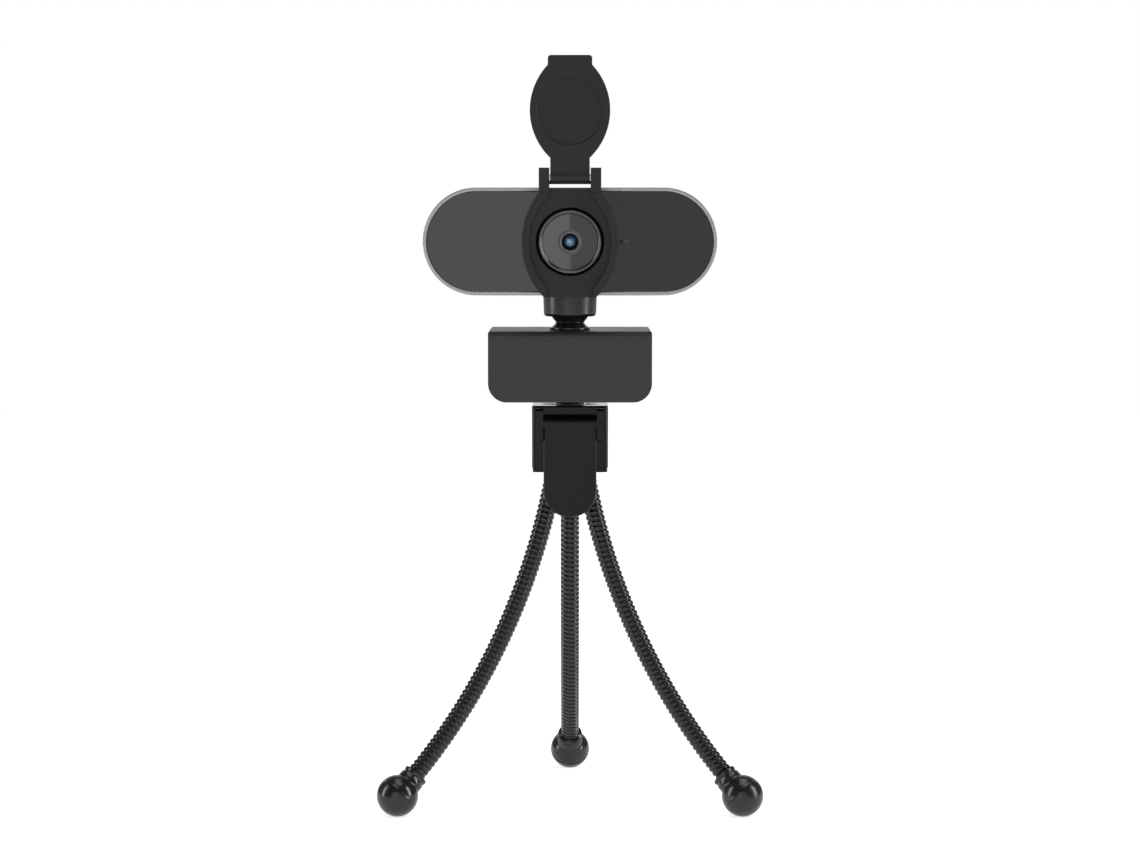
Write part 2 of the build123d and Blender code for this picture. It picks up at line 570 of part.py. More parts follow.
LINER_REAR_Y = HINGE_Y - 7.5
with BuildPart() as jaw_liner:
    with BuildSketch(side(-CLIP_WIDTH / 2)):
        with BuildLine():
            Polyline(
                (JAW_FRONT_Y + LIP_T, LIP_BOTTOM_Z + 1.2),
                (JAW_FRONT_Y + LIP_T, PLATE_BOTTOM_Z),
                (LINER_REAR_Y, PLATE_BOTTOM_Z),
                (LINER_REAR_Y, PLATE_BOTTOM_Z - LINER_T),
                (JAW_FRONT_Y + LIP_T + LINER_T, PLATE_BOTTOM_Z - LINER_T),
                (JAW_FRONT_Y + LIP_T + LINER_T, LIP_BOTTOM_Z + 1.2),
                close=True,
            )
        make_face()
    extrude(amount=CLIP_WIDTH)
    jaw_front(LIP_BOTTOM_Z + 1.2, PLATE_BOTTOM_Z + 5, CLIP_WIDTH / 2 - 1.2, LIP_CORNER_R - 1.2)
    with BuildSketch(neck_level(PLATE_BOTTOM_Z - LINER_T)):
        Circle(COUNTERBORE_R + 0.4)
    extrude(amount=LINER_T, mode=Mode.SUBTRACT)
finish(jaw_liner, "jaw_liner")

with BuildPart() as clip_hinge_pin:
    pin_end = CLIP_WIDTH / 2 - HINGE_MOUTH_DEPTH + 0.8
    cylinder_along_x(HINGE_PIN_R, -pin_end, pin_end, HINGE_Y, HINGE_Z)
finish(clip_hinge_pin, "clip_hinge_pin")

# ---------------------------------------------------------------- neck ball stud
WASHER_R, WASHER_T = 3.6, 0.6
SCREW_HEAD_R, SCREW_HEAD_BOTTOM_Z = 3.0, 145.6
WAIST_Z = NECK_BALL_Z - sqrt(NECK_BALL_R**2 - STUD_WAIST_R**2)

with BuildPart() as neck_ball_stud:
    with BuildSketch(Plane(origin=(0, NECK_Y, 0), x_dir=(1, 0, 0), z_dir=(0, -1, 0))):
        with BuildLine():
            Polyline((0, JAW_TOP_Z), (STUD_FLANGE_R, JAW_TOP_Z), (STUD_FLANGE_R, JAW_TOP_Z + 0.9))
            waist = (STUD_WAIST_R, WAIST_Z)
            shoulder = (STUD_FLANGE_R, JAW_TOP_Z + 0.9)
            RadiusArc(shoulder, waist, 3.2)
            Line(waist, (0, WAIST_Z))
            Line((0, WAIST_Z), (0, JAW_TOP_Z))
        make_face()
    revolve(axis=Axis((0, NECK_Y, 0), (0, 0, 1)))
    with Locations((0, NECK_Y, NECK_BALL_Z)):
        Sphere(NECK_BALL_R)
    with BuildSketch(neck_level(JAW_TOP_Z)):
        Circle(TENSION_SCREW_R)
    extrude(amount=7.0, mode=Mode.SUBTRACT)
finish(neck_ball_stud, "neck_ball_stud")

with BuildPart() as tension_screw:
    with BuildSketch(neck_level(SCREW_HEAD_BOTTOM_Z)):
        Circle(TENSION_SCREW_R)
    extrude(amount=JAW_TOP_Z + 6.5 - SCREW_HEAD_BOTTOM_Z)
    with BuildSketch(neck_level(SCREW_HEAD_BOTTOM_Z)):
        Circle(SCREW_HEAD_R)
    extrude(amount=COUNTERBORE_Z - WASHER_T - SCREW_HEAD_BOTTOM_Z)
    with BuildSketch(neck_level(SCREW_HEAD_BOTTOM_Z)):
        Rectangle(3.6, 0.8)
        Rectangle(0.8, 3.6)
    extrude(amount=0.7, mode=Mode.SUBTRACT)
finish(tension_screw, "tension_screw")

with BuildPart() as spring_washer:
    with BuildSketch(neck_level(COUNTERBORE_Z - WASHER_T)):
        Circle(WASHER_R)
        Circle(TENSION_SCREW_R + RUNNING_GAP, mode=Mode.SUBTRACT)
    extrude(amount=WASHER_T)
finish(spring_washer, "spring_washer")

# ---------------------------------------------------------------- neck socket
SOCKET_R = NECK_BALL_R + RUNNING_GAP
SOCKET_LIP_DEPTH = 2.4
DOME_R = 7.4
NECK_SEAT_Z = HEAD_BOTTOM_Z + 0.9
NECK_SCREW_X, NECK_SCREW_R = 7.35, 0.7
HOUSING_FRONT_Y = FACE_Y + RIM_DEPTH
HOUSING_DEPTH = HEAD_DEPTH - RIM_DEPTH
HOUSING_BACK_Y = FACE_Y + HEAD_DEPTH
LIP_R = sqrt(SOCKET_R**2 - SOCKET_LIP_DEPTH**2)
SOCKET_LIP_Z = NECK_BALL_Z - SOCKET_LIP_DEPTH

with BuildPart() as neck_socket:
    add(revolve_about(
        neck_level(0),
        (0, NECK_BOTTOM_Z),
        (NECK_BOTTOM_R, NECK_BOTTOM_Z),
        (NECK_R, HEAD_BOTTOM_Z),
        (NECK_R, NECK_SEAT_Z),
        (0, NECK_SEAT_Z),
    ).part)
    fillet(neck_socket.edges().group_by(Axis.Z)[0], 1.0)
    # the front of its seat stays clear of the front rim
    with BuildSketch(level(HEAD_BOTTOM_Z, y=HOUSING_FRONT_Y - 5)):
        Rectangle(30, 10 + 0.1)
    extrude(amount=5, mode=Mode.SUBTRACT)
    with Locations((0, NECK_Y, NECK_BALL_Z)):
        Sphere(DOME_R)
        Sphere(SOCKET_R, mode=Mode.SUBTRACT)
    # the mouth under the ball flares, so that the neck can tilt
    with BuildSketch(neck_level(SOCKET_LIP_Z)):
        Circle(LIP_R)
    with BuildSketch(neck_level(NECK_BOTTOM_Z - 0.01)):
        Circle(NECK_BOTTOM_R - 1.3)
    loft(mode=Mode.SUBTRACT)
    with BuildSketch(neck_level(NECK_BOTTOM_Z - 5)):
        Circle(20)
    extrude(amount=4.99, mode=Mode.SUBTRACT)
    with BuildSketch(neck_level(NECK_SEAT_Z)):
        with Locations((-NECK_SCREW_X, 0), (NECK_SCREW_X, 0)):
            Circle(NECK_SCREW_R)
    extrude(amount=-3.0, mode=Mode.SUBTRACT)
finish(neck_socket, "neck_socket")

# ---------------------------------------------------------------- head casing
BACK_EDGE_R = 2.6
INNER_BACK_Y = HOUSING_BACK_Y - HOUSING_WALL
BOARD_Y = FACE_Y + BOARD_FRONT
BOARD_BACK_Y = BOARD_Y + BOARD_T
BOARD_WIDTH, BOARD_HEIGHT = 62.0, 21.0
BOARD_SCREWS = [(x, z) for x in (-26.5, 26.5) for z in (-7.5, 7.5)]
BOARD_SCREW_R, BOARD_BOSS_R = 0.9, 2.4

with BuildPart() as rear_housing:
    with BuildSketch(backing(HOUSING_FRONT_Y)):
        SlotOverall(HEAD_WIDTH - 0.2, HEAD_HEIGHT - 0.2)
    extrude(amount=HOUSING_DEPTH, taper=HOUSING_TAPER)
    fillet(rear_housing.faces().sort_by(Axis.Y)[-1].edges(), BACK_EDGE_R)
    with BuildSketch(backing(HOUSING_FRONT_Y)):
        SlotOverall(HEAD_WIDTH - 0.2 - 2 * HOUSING_WALL, HEAD_HEIGHT - 0.2 - 2 * HOUSING_WALL)
    extrude(amount=HOUSING_DEPTH - HOUSING_WALL, taper=HOUSING_TAPER, mode=Mode.SUBTRACT)
    # bosses that hold the circuit board
    with BuildSketch(facing(INNER_BACK_Y + 0.2)):
        with Locations(*BOARD_SCREWS):
            Circle(BOARD_BOSS_R)
    extrude(amount=INNER_BACK_Y + 0.2 - BOARD_BACK_Y)
    with BuildSketch(facing(INNER_BACK_Y)):
        with Locations(*BOARD_SCREWS):
            Circle(BOARD_SCREW_R)
    extrude(amount=INNER_BACK_Y - BOARD_BACK_Y, mode=Mode.SUBTRACT)
    # seat of the neck, and the hole for its dome
    with BuildSketch(neck_level(HEAD_BOTTOM_Z - 5)):
        Circle(NECK_R)
    extrude(amount=NECK_SEAT_Z - HEAD_BOTTOM_Z + 5, mode=Mode.SUBTRACT)
    with Locations((0, NECK_Y, NECK_BALL_Z)):
        Sphere(DOME_R, mode=Mode.SUBTRACT)
    with BuildSketch(neck_level(NECK_SEAT_Z)):
        with Locations((-NECK_SCREW_X, 0), (NECK_SCREW_X, 0)):
            Circle(NECK_SCREW_R)
    extrude(amount=4.0, mode=Mode.SUBTRACT)
    with BuildSketch(backing(INNER_BACK_Y - 1, z=GROMMET_Z)):
        Circle(GROMMET_R)
    extrude(amount=5, mode=Mode.SUBTRACT)
finish(rear_housing, "rear_housing")

HOUSING_FLOOR_Z = HEAD_BOTTOM_Z + 0.1 + HOUSING_WALL
with BuildPart() as neck_screws:
    with BuildSketch(neck_level(NECK_SEAT_Z - 2.8)):
        with Locations((-NECK_SCREW_X, 0), (NECK_SCREW_X, 0)):
            Circle(NECK_SCREW_R)
    extrude(amount=HOUSING_FLOOR_Z + 0.4 - NECK_SEAT_Z + 2.8)
    with BuildSketch(neck_level(HOUSING_FLOOR_Z + 0.4)):
        with Locations((-NECK_SCREW_X, 0), (NECK_SCREW_X, 0)):
            Circle(1.4)
    extrude(amount=1.0)
finish(neck_screws, "neck_screws")

with BuildPart() as front_rim:
    with BuildSketch(facing(HOUSING_FRONT_Y)):
        SlotOverall(HEAD_WIDTH, HEAD_HEIGHT)
        SlotOverall(HEAD_WIDTH - 2 * RIM_WIDTH - 1.6, HEAD_HEIGHT - 2 * RIM_WIDTH - 1.6, mode=Mode.SUBTRACT)
    extrude(amount=RIM_DEPTH)
    with BuildSketch(facing(FACE_Y)):
        SlotOverall(HEAD_WIDTH - 2 * RIM_WIDTH, HEAD_HEIGHT - 2 * RIM_WIDTH)
    extrude(amount=-PANEL_T - 0.15, mode=Mode.SUBTRACT)
    rim_front = front_rim.faces().sort_by(Axis.Y)[0]
    chamfer(rim_front.outer_wire().edges(), 0.35)
finish(front_rim, "front_rim")

PANEL_FRONT_Y = FACE_Y + 0.15
PANEL_BACK_Y = PANEL_FRONT_Y + PANEL_T
with BuildPart() as front_panel:
    with BuildSketch(facing(PANEL_BACK_Y)):
        SlotOverall(HEAD_WIDTH - 2 * RIM_WIDTH - 0.1, HEAD_HEIGHT - 2 * RIM_WIDTH - 0.1)
        Circle(COLLAR_TOP_R, mode=Mode.SUBTRACT)
        with Locations((SLOT_X, 0)):
            SlotOverall(SLOT_WIDTH, SLOT_HEIGHT, mode=Mode.SUBTRACT)
    extrude(amount=PANEL_T)
finish(front_panel, "front_panel")

# ---------------------------------------------------------------- lens unit
BARREL_BORE = COVER_GLASS_R + 0.05
TRIM_T = 0.7
GLASS_FRONT = BARREL_H - 0.6
collar_bore = BARREL_R + RUNNING_GAP
lens_collar = revolve_about(
    facing(FACE_Y),
    (collar_bore, -0.15 - PANEL_T),
    (COLLAR_TOP_R, -0.15 - PANEL_T),
    (COLLAR_TOP_R, -0.15),
    (COLLAR_R, -0.15),
    (COLLAR_R, 0.5),
    (COLLAR_TOP_R, COLLAR_H),
    (collar_bore, COLLAR_H),
)
finish(lens_collar, "lens_collar")

BARREL_BACK = 3.0
lens_barrel = revolve_about(
    facing(FACE_Y),
    (LENS_TUBE_R + 0.05, -BARREL_BACK),
    (COLLAR_R, -BARREL_BACK),
    (COLLAR_R, -0.2 - PANEL_T),
    (BARREL_R, -0.2 - PANEL_T),
    (BARREL_R, 2.0),
    (BARREL_FRONT_R, BARREL_H - TRIM_T),
    (BARREL_BORE, BARREL_H - TRIM_T),
    (BARREL_BORE, GLASS_FRONT - COVER_GLASS_T),
    (BARREL_BORE - 1.0, GLASS_FRONT - COVER_GLASS_T),
    (BARREL_BORE - 1.0, 1.5),
    (LENS_TUBE_R + 0.05, 1.5),
)
finish(lens_barrel, "lens_barrel")

barrel_trim_ring = revolve_about(
    facing(FACE_Y),
    (BARREL_BORE, BARREL_H - TRIM_T),
    (BARREL_FRONT_R, BARREL_H - TRIM_T),
    (BARREL_FRONT_R, BARREL_H - 0.25),
    (BARREL_FRONT_R - 0.25, BARREL_H),
    (BARREL_FRONT_R - 0.65, BARREL_H),
    (BARREL_BORE, BARREL_H - 0.45),
)
finish(barrel_trim_ring, "barrel_trim_ring")

with BuildPart() as lens_cover_glass:
    with BuildSketch(facing(FACE_Y - GLASS_FRONT + COVER_GLASS_T)):
        Circle(COVER_GLASS_R)
        Circle(LENS_RING_R, mode=Mode.SUBTRACT)
    extrude(amount=COVER_GLASS_T)
finish(lens_cover_glass, "lens_cover_glass")

lens_ring = revolve_about(
    facing(FACE_Y),
    (LENS_RING_BORE, GLASS_FRONT - 1.6),
    (LENS_RING_R, GLASS_FRONT - 1.6),
    (LENS_RING_R, GLASS_FRONT + 0.1),
    (LENS_RING_BORE + 0.3, GLASS_FRONT + 0.1),
    (LENS_RING_BORE, GLASS_FRONT - 0.2),
)
finish(lens_ring, "lens_ring")

TUBE_FRONT, TUBE_BACK = GLASS_FRONT - 1.7, 6.4
TUBE_BORE = 2.45
lens_tube = revolve_about(
    facing(FACE_Y),
    (TUBE_BORE, -TUBE_BACK),
    (LENS_TUBE_R, -TUBE_BACK),
    (LENS_TUBE_R, TUBE_FRONT - 0.4),
    (LENS_TUBE_R - 0.4, TUBE_FRONT),
    (TUBE_BORE, TUBE_FRONT),
)
finish(lens_tube, "lens_tube")

ELEMENT_DEPTHS, ELEMENT_T = (TUBE_FRONT - 0.9, 3.0, -2.5), 1.4
with BuildPart() as lens_elements:
    for front in ELEMENT_DEPTHS:
        with BuildSketch(Plane(origin=(0, FACE_Y, LENS_Z), x_dir=(1, 0, 0), z_dir=(0, 0, -1))):
            with BuildLine():
                edge_front, edge_back = (TUBE_BORE, -front), (TUBE_BORE, -front + ELEMENT_T)
                ThreePointArc(edge_front, (0, -front - 0.7), (-TUBE_BORE, -front))
                Polyline((-TUBE_BORE, -front), (-TUBE_BORE, -front + ELEMENT_T), edge_back, edge_front)
            make_face()
            with Locations((-TUBE_BORE, -front)):
                Rectangle(TUBE_BORE, 10, align=(Align.MIN, Align.CENTER), mode=Mode.SUBTRACT)
        revolve(axis=Axis((0, FACE_Y, LENS_Z), (0, 1, 0)))
finish(lens_elements, "lens_elements")

HOLDER_SIZE, HOLDER_FRONT = 14.0, BARREL_BACK + 0.1
FILTER_SIZE, FILTER_T = 6.0, 0.4
SENSOR_T = 0.9
with BuildPart() as lens_holder:
    with BuildSketch(facing(BOARD_Y)):
        RectangleRounded(HOLDER_SIZE, HOLDER_SIZE, 1.0)
    extrude(amount=BOARD_FRONT - HOLDER_FRONT)
    with BuildSketch(facing(BOARD_Y)):
        Circle(LENS_TUBE_R)
    extrude(amount=BOARD_FRONT - HOLDER_FRONT, mode=Mode.SUBTRACT)
    with BuildSketch(facing(BOARD_Y)):
        Rectangle(8.6, 8.6)
    extrude(amount=1.6, mode=Mode.SUBTRACT)
finish(lens_holder, "lens_holder")

with BuildPart() as infrared_filter:
    with BuildSketch(facing(BOARD_Y - SENSOR_T - 0.2)):
        Rectangle(FILTER_SIZE, FILTER_SIZE)
    extrude(amount=FILTER_T)
finish(infrared_filter, "infrared_filter")

with BuildPart() as image_sensor:
    with BuildSketch(facing(BOARD_Y)):
        Rectangle(7.4, 6.6)
    extrude(amount=SENSOR_T)
finish(image_sensor, "image_sensor")

with BuildPart() as circuit_board:
    with BuildSketch(facing(BOARD_BACK_Y)):
        RectangleRounded(BOARD_WIDTH, BOARD_HEIGHT, 1.5)
        with Locations(*BOARD_SCREWS):
            Circle(BOARD_SCREW_R, mode=Mode.SUBTRACT)
    extrude(amount=BOARD_T)
finish(circuit_board, "circuit_board")

with BuildPart() as board_screws:
    with BuildSketch(facing(BOARD_BACK_Y + 3.0)):
        with Locations(*BOARD_SCREWS):
            Circle(BOARD_SCREW_R)
    extrude(amount=3.0 + BOARD_T)
    with BuildSketch(facing(BOARD_Y)):
        with Locations(*BOARD_SCREWS):
            Circle(1.8)
    extrude(amount=1.0)
finish(board_screws, "board_screws")

with BuildPart() as indicator_window:
    with BuildSketch(facing(PANEL_BACK_Y, x=SLOT_X)):
        SlotOverall(SLOT_WIDTH, SLOT_HEIGHT)
        with Locations((-0.95, 0)):
            Circle(0.45, mode=Mode.SUBTRACT)
    extrude(amount=PANEL_T - 0.25)
finish(indicator_window, "indicator_window")

with BuildPart() as status_led:
    with BuildSketch(facing(PANEL_BACK_Y + 1.0, x=SLOT_X + 0.95)):
        Rectangle(1.6, 0.8)
    extrude(amount=0.8)
finish(status_led, "status_led")

with BuildPart() as microphone:
    with BuildSketch(facing(PANEL_BACK_Y + 3.2, x=SLOT_X - 2.2)):
        Circle(2.0)
    extrude(amount=1.5)
finish(microphone, "microphone")

GROMMET_OUT = 2.4
with BuildPart() as cable_grommet:
    with BuildSketch(backing(INNER_BACK_Y - 0.6, z=GROMMET_Z)):
        Circle(GROMMET_R)
    extrude(amount=HOUSING_WALL + 0.6)
    with BuildSketch(backing(HOUSING_BACK_Y, z=GROMMET_Z)):
        Circle(GROMMET_R + 0.9)
    extrude(amount=GROMMET_OUT, taper=14)
    with BuildSketch(backing(INNER_BACK_Y - 0.6, z=GROMMET_Z)):
        Circle(CABLE_R)
    extrude(amount=10, mode=Mode.SUBTRACT)
finish(cable_grommet, "cable_grommet")

# ---------------------------------------------------------------- lens cover
def lid_outline(toward, growth=0.0):
    """The lid's outline in a sketch: a barrel-shaped disc with a tab at each end. toward is +1 up, -1 down."""
    hinge_half, tab_half = LID_HINGE_WIDTH / 2 + growth, LID_TAB_WIDTH / 2 + growth
    hinge_z, middle_z = LID_HINGE_Z, LID_HINGE_Z + toward * LID_REACH
    near_z, far_z = middle_z - toward * LID_SHOULDER, middle_z + toward * LID_SHOULDER
    end_z = LID_HINGE_Z + toward * (LID_TAB_END + growth)
    with BuildLine() as outline:
        for way in (-1, 1):
            Line((way * hinge_half, hinge_z), (way * hinge_half, near_z))
            ThreePointArc((way * hinge_half, near_z), (way * (LID_R + growth), middle_z), (way * tab_half, far_z))
            Line((way * tab_half, far_z), (way * tab_half, end_z))
        Line((-hinge_half, hinge_z), (hinge_half, hinge_z))
        Line((-tab_half, end_z), (tab_half, end_z))
    make_face(outline.edges())


LID_BACK_Y = LID_HINGE_Y + LID_T / 2
with BuildPart() as cover_lid:
    with BuildSketch(facing(LID_BACK_Y, z=0)):
        lid_outline(1)
    extrude(amount=LID_T)
    fillet(cover_lid.edges().group_by(Axis.Z)[-1].filter_by(Axis.Y), 1.0)
    # shallow recess that takes the lens barrel's front when the lid is shut
    with BuildSketch(facing(LID_HINGE_Y - LID_T / 2, z=LID_HINGE_Z + LID_REACH)):
        Circle(LID_RECESS_R)
    extrude(amount=-LID_RECESS_DEPTH, mode=Mode.SUBTRACT)
    cylinder_along_x(LID_KNUCKLE_R, -LID_HINGE_WIDTH / 2, LID_HINGE_WIDTH / 2, LID_HINGE_Y, LID_HINGE_Z)
    lid_bore = LID_PIN_R + RUNNING_GAP
    cylinder_along_x(lid_bore, -LID_HINGE_WIDTH / 2, LID_HINGE_WIDTH / 2, LID_HINGE_Y, LID_HINGE_Z, Mode.SUBTRACT)
finish(cover_lid, "cover_lid")

COVER_TOP_Z = 194.7           # the floor stops here, above it only the ears and a bar
BAR_LOW_Z, BAR_HIGH_Z = 196.0, 197.2
EAR_INNER_HALF = LID_HINGE_WIDTH / 2 + 0.3
EAR_FRONT, EAR_BACK = 12.4, 7.4


def cover_outline():
    """The cover's outline in a sketch: barrel-shaped round the lens, drawn up into a square neck."""
    foot_half, neck_half = COVER_FOOT_WIDTH / 2, COVER_EARS_WIDTH / 2
    with BuildLine() as outline:
        for way in (-1, 1):
            foot, neck = (way * foot_half, COVER_BOTTOM_Z), (way * neck_half, COVER_SHOULDER_Z)
            ThreePointArc(foot, (way * COVER_R, LENS_Z), neck)
            Line(neck, (way * neck_half, EAR_TOP_Z))
        Line((-foot_half, COVER_BOTTOM_Z), (foot_half, COVER_BOTTOM_Z))
        Line((-neck_half, EAR_TOP_Z), (neck_half, EAR_TOP_Z))
    make_face(outline.edges())


with BuildPart() as cover_base:
    with BuildSketch(facing(FACE_Y, z=0)):
        cover_outline()
    extrude(amount=COVER_DEPTH)
    # recess that the lid nests in, open below
    with BuildSketch(facing(FACE_Y - COVER_FLOOR_FRONT, z=0)):
        lid_outline(-1, LID_CLEARANCE)
        with Locations((0, LID_HINGE_Z)):
            Rectangle(2 * EAR_INNER_HALF, 10)
    extrude(amount=10, mode=Mode.SUBTRACT)
    # hollow behind the floor, round the collar
    with BuildSketch(facing(FACE_Y)):
        Circle(LID_R + LID_CLEARANCE)
    extrude(amount=COVER_FLOOR_FRONT - COVER_FLOOR_T, mode=Mode.SUBTRACT)
    with BuildSketch(facing(FACE_Y)):
        Circle(BARREL_R + 0.3)
    extrude(amount=20, mode=Mode.SUBTRACT)
    # above the head only the front layer goes on
    with BuildSketch(level(HEAD_BOTTOM_Z + HEAD_HEIGHT - 0.8, y=FACE_Y - EAR_BACK)):
        Rectangle(40, 20, align=(Align.CENTER, Align.MIN))
    extrude(amount=20, mode=Mode.SUBTRACT)
    # see-through slot between the floor and the bar
    with BuildSketch(facing(FACE_Y, z=0)):
        with Locations((0, COVER_TOP_Z)):
            Rectangle(2 * EAR_INNER_HALF, BAR_LOW_Z - COVER_TOP_Z, align=(Align.CENTER, Align.MIN))
        with Locations((0, BAR_HIGH_Z)):
            Rectangle(2 * EAR_INNER_HALF, 10, align=(Align.CENTER, Align.MIN))
    extrude(amount=20, mode=Mode.SUBTRACT)
    # ears that carry the hinge pin
    for ear_side in (-1, 1):
        ear_width = COVER_EARS_WIDTH / 2 - EAR_INNER_HALF
        ear_x = ear_side * (EAR_INNER_HALF + ear_width / 2)
        with BuildSketch(facing(FACE_Y - EAR_BACK, x=ear_x, z=0)):
            with Locations((0, LENS_Z + 15.5)):
                Rectangle(ear_width, EAR_TOP_Z - LENS_Z - 15.5, align=(Align.CENTER, Align.MIN))
        extrude(amount=EAR_FRONT - EAR_BACK)
    lid_pin_reach = COVER_EARS_WIDTH / 2 - 0.5
    cylinder_along_x(LID_PIN_R, -lid_pin_reach, lid_pin_reach, LID_HINGE_Y, LID_HINGE_Z, Mode.SUBTRACT)
finish(cover_base, "cover_base")

with BuildPart() as cover_hinge_pin:
    cylinder_along_x(LID_PIN_R, -lid_pin_reach, lid_pin_reach, LID_HINGE_Y, LID_HINGE_Z)
finish(cover_hinge_pin, "cover_hinge_pin")
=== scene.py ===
import json
from math import atan2, cos, pi, radians, sin

import bmesh
import bpy
from mathutils import Matrix, Vector


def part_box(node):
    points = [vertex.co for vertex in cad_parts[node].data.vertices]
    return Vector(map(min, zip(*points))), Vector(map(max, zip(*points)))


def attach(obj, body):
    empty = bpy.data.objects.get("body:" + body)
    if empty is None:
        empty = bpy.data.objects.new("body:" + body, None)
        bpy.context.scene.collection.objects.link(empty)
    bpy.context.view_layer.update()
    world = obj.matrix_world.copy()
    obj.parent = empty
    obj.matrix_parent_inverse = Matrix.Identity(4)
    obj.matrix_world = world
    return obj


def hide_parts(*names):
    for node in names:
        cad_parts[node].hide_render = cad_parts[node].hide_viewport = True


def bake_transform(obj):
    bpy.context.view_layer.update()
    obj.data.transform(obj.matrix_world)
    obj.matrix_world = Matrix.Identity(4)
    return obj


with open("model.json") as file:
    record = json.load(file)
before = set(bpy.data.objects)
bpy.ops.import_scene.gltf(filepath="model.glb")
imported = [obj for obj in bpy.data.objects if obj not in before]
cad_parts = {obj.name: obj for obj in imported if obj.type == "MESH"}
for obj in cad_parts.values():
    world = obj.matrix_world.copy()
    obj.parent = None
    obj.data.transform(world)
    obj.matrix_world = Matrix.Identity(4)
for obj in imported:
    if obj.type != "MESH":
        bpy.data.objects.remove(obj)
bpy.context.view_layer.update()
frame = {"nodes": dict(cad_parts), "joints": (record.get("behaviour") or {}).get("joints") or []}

MM = 0.001
LEG_SIDES = ("right", "rear", "left")


# ---------------------------------------------------------------- places
def box_mm(node):
    """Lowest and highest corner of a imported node, in millimetres."""
    low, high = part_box(node)
    return low / MM, high / MM


def middle_mm(node):
    low, high = box_mm(node)
    return (low + high) / 2


def radius_mm(node):
    """Half the width of a round node along X."""
    low, high = box_mm(node)
    return (high.x - low.x) / 2


def joint_mm(name):
    found = next(j for j in frame["joints"] if j["name"] == name)
    return Vector(found["pos_m"]) / MM


# ---------------------------------------------------------------- finishes
class Signal:
    """One socket of a finish, which takes part in sums and products."""

    def __init__(self, finish, socket):
        self.finish, self.socket = finish, socket

    def maths(self, operation, first, second):
        return self.finish.node("ShaderNodeMath", {"operation": operation}, {0: first, 1: second})

    def __add__(self, other):
        return self.maths("ADD", self, other)

    def __rsub__(self, other):
        return self.maths("SUBTRACT", other, self)

    def __mul__(self, other):
        return self.maths("MULTIPLY", self, other)


class Finish:
    """A material with one Principled shader, and the nodes that feed it."""

    def __init__(self, name, colour, roughness, **constants):
        self.material = bpy.data.materials.new(name)
        self.material.use_nodes = True
        self.tree = self.material.node_tree
        self.shader = self.tree.nodes["Principled BSDF"]
        self.shader.inputs["Base Color"].default_value = (*colour, 1.0)
        self.shader.inputs["Roughness"].default_value = roughness
        for socket, value in constants.items():
            self.shader.inputs[socket.replace("_", " ")].default_value = value
        self.place = self.node("ShaderNodeTexCoord", output="Object")

    def node(self, kind, settings=None, sockets=None, output=0):
        made = self.tree.nodes.new(kind)
        for key, value in (settings or {}).items():
            setattr(made, key, value)
        for key, value in (sockets or {}).items():
            if isinstance(value, Signal):
                self.tree.links.new(value.socket, made.inputs[key])
            else:
                made.inputs[key].default_value = value
        return Signal(self, made.outputs[output])

    def noise(self, size, detail=2.0, roughness=0.5, distortion=0.0, place=None):
        """Cloudy noise whose lumps are about this many millimetres across."""
        return self.node(
            "ShaderNodeTexNoise",
            None,
            {
                "Vector": place or self.place,
                "Scale": 1000.0 / size,
                "Detail": detail,
                "Roughness": roughness,
                "Distortion": distortion,
            },
        )

    def cells(self, size):
        """Distance to the nearest grain centre, for grains this many millimetres apart."""
        return self.node("ShaderNodeTexVoronoi", None, {"Vector": self.place, "Scale": 1000.0 / size})

    def stretched(self, along_x, along_y, along_z):
        return self.node(
            "ShaderNodeMapping", None, {"Vector": self.place, "Scale": (along_x, along_y, along_z)}
        )

    def range(self, signal, low, high, from_low=0.3, from_high=0.7):
        return self.node(
            "ShaderNodeMapRange",
            {"clamp": True},
            {"Value": signal, "From Min": from_low, "From Max": from_high, "To Min": low, "To Max": high},
        )

    def mix(self, factor, first, second):
        first = (*first, 1.0) if isinstance(first, tuple) and len(first) == 3 else first
        second = (*second, 1.0) if isinstance(second, tuple) and len(second) == 3 else second
        return self.node(
            "ShaderNodeMix",
            {"data_type": "RGBA"},
            {0: factor, 6: first, 7: second},
            output=2,
        )

    def feed(self, socket, signal):
        self.tree.links.new(signal.socket, self.shader.inputs[socket])

    def bump(self, height, depth, strength=1.0):
        """Relief of this many millimetres where the height runs from 0 to 1."""
        relief = self.node(
            "ShaderNodeBump", None, {"Strength": strength, "Distance": depth * MM, "Height": height}
        )
        self.feed("Normal", relief)


def moulded(name, colour, roughness, grain=0.35, depth=0.012, mottle=0.18, **constants):
    """Injection-moulded plastic: spark-eroded grain, faint flow marks, and a slightly uneven sheen."""
    made = Finish(name, colour, roughness, **constants)
    fine, broad = made.noise(grain, detail=3.0), made.noise(14.0, detail=4.0, distortion=0.6)
    darker = tuple(c * (1 - mottle) for c in colour)
    lighter = tuple(min(1.0, c * (1 + mottle)) for c in colour)
    made.feed("Base Color", made.mix(made.range(broad * 0.5 + fine * 0.5, 0.0, 1.0), darker, lighter))
    made.feed("Roughness", made.range(broad, roughness - 0.05, roughness + 0.06))
    made.bump(fine, depth)
    return made.material


def polished(name, colour, roughness, **constants):
    """Mirror-like moulding: hardly any relief, with a trace of wipe marks in the gloss."""
    made = Finish(name, colour, roughness, **constants)
    wipes = made.noise(9.0, detail=5.0, roughness=0.6, distortion=1.2, place=made.stretched(1.0, 1.0, 0.35))
    waves = made.noise(26.0, detail=1.0)
    made.feed("Roughness", made.range(wipes, roughness, roughness + 0.05, 0.4, 0.75))
    made.feed("Base Color", made.mix(made.range(wipes, 0.0, 1.0), colour, tuple(c * 1.5 for c in colour)))
    made.bump(waves, 0.01, strength=0.25)
    return made.material


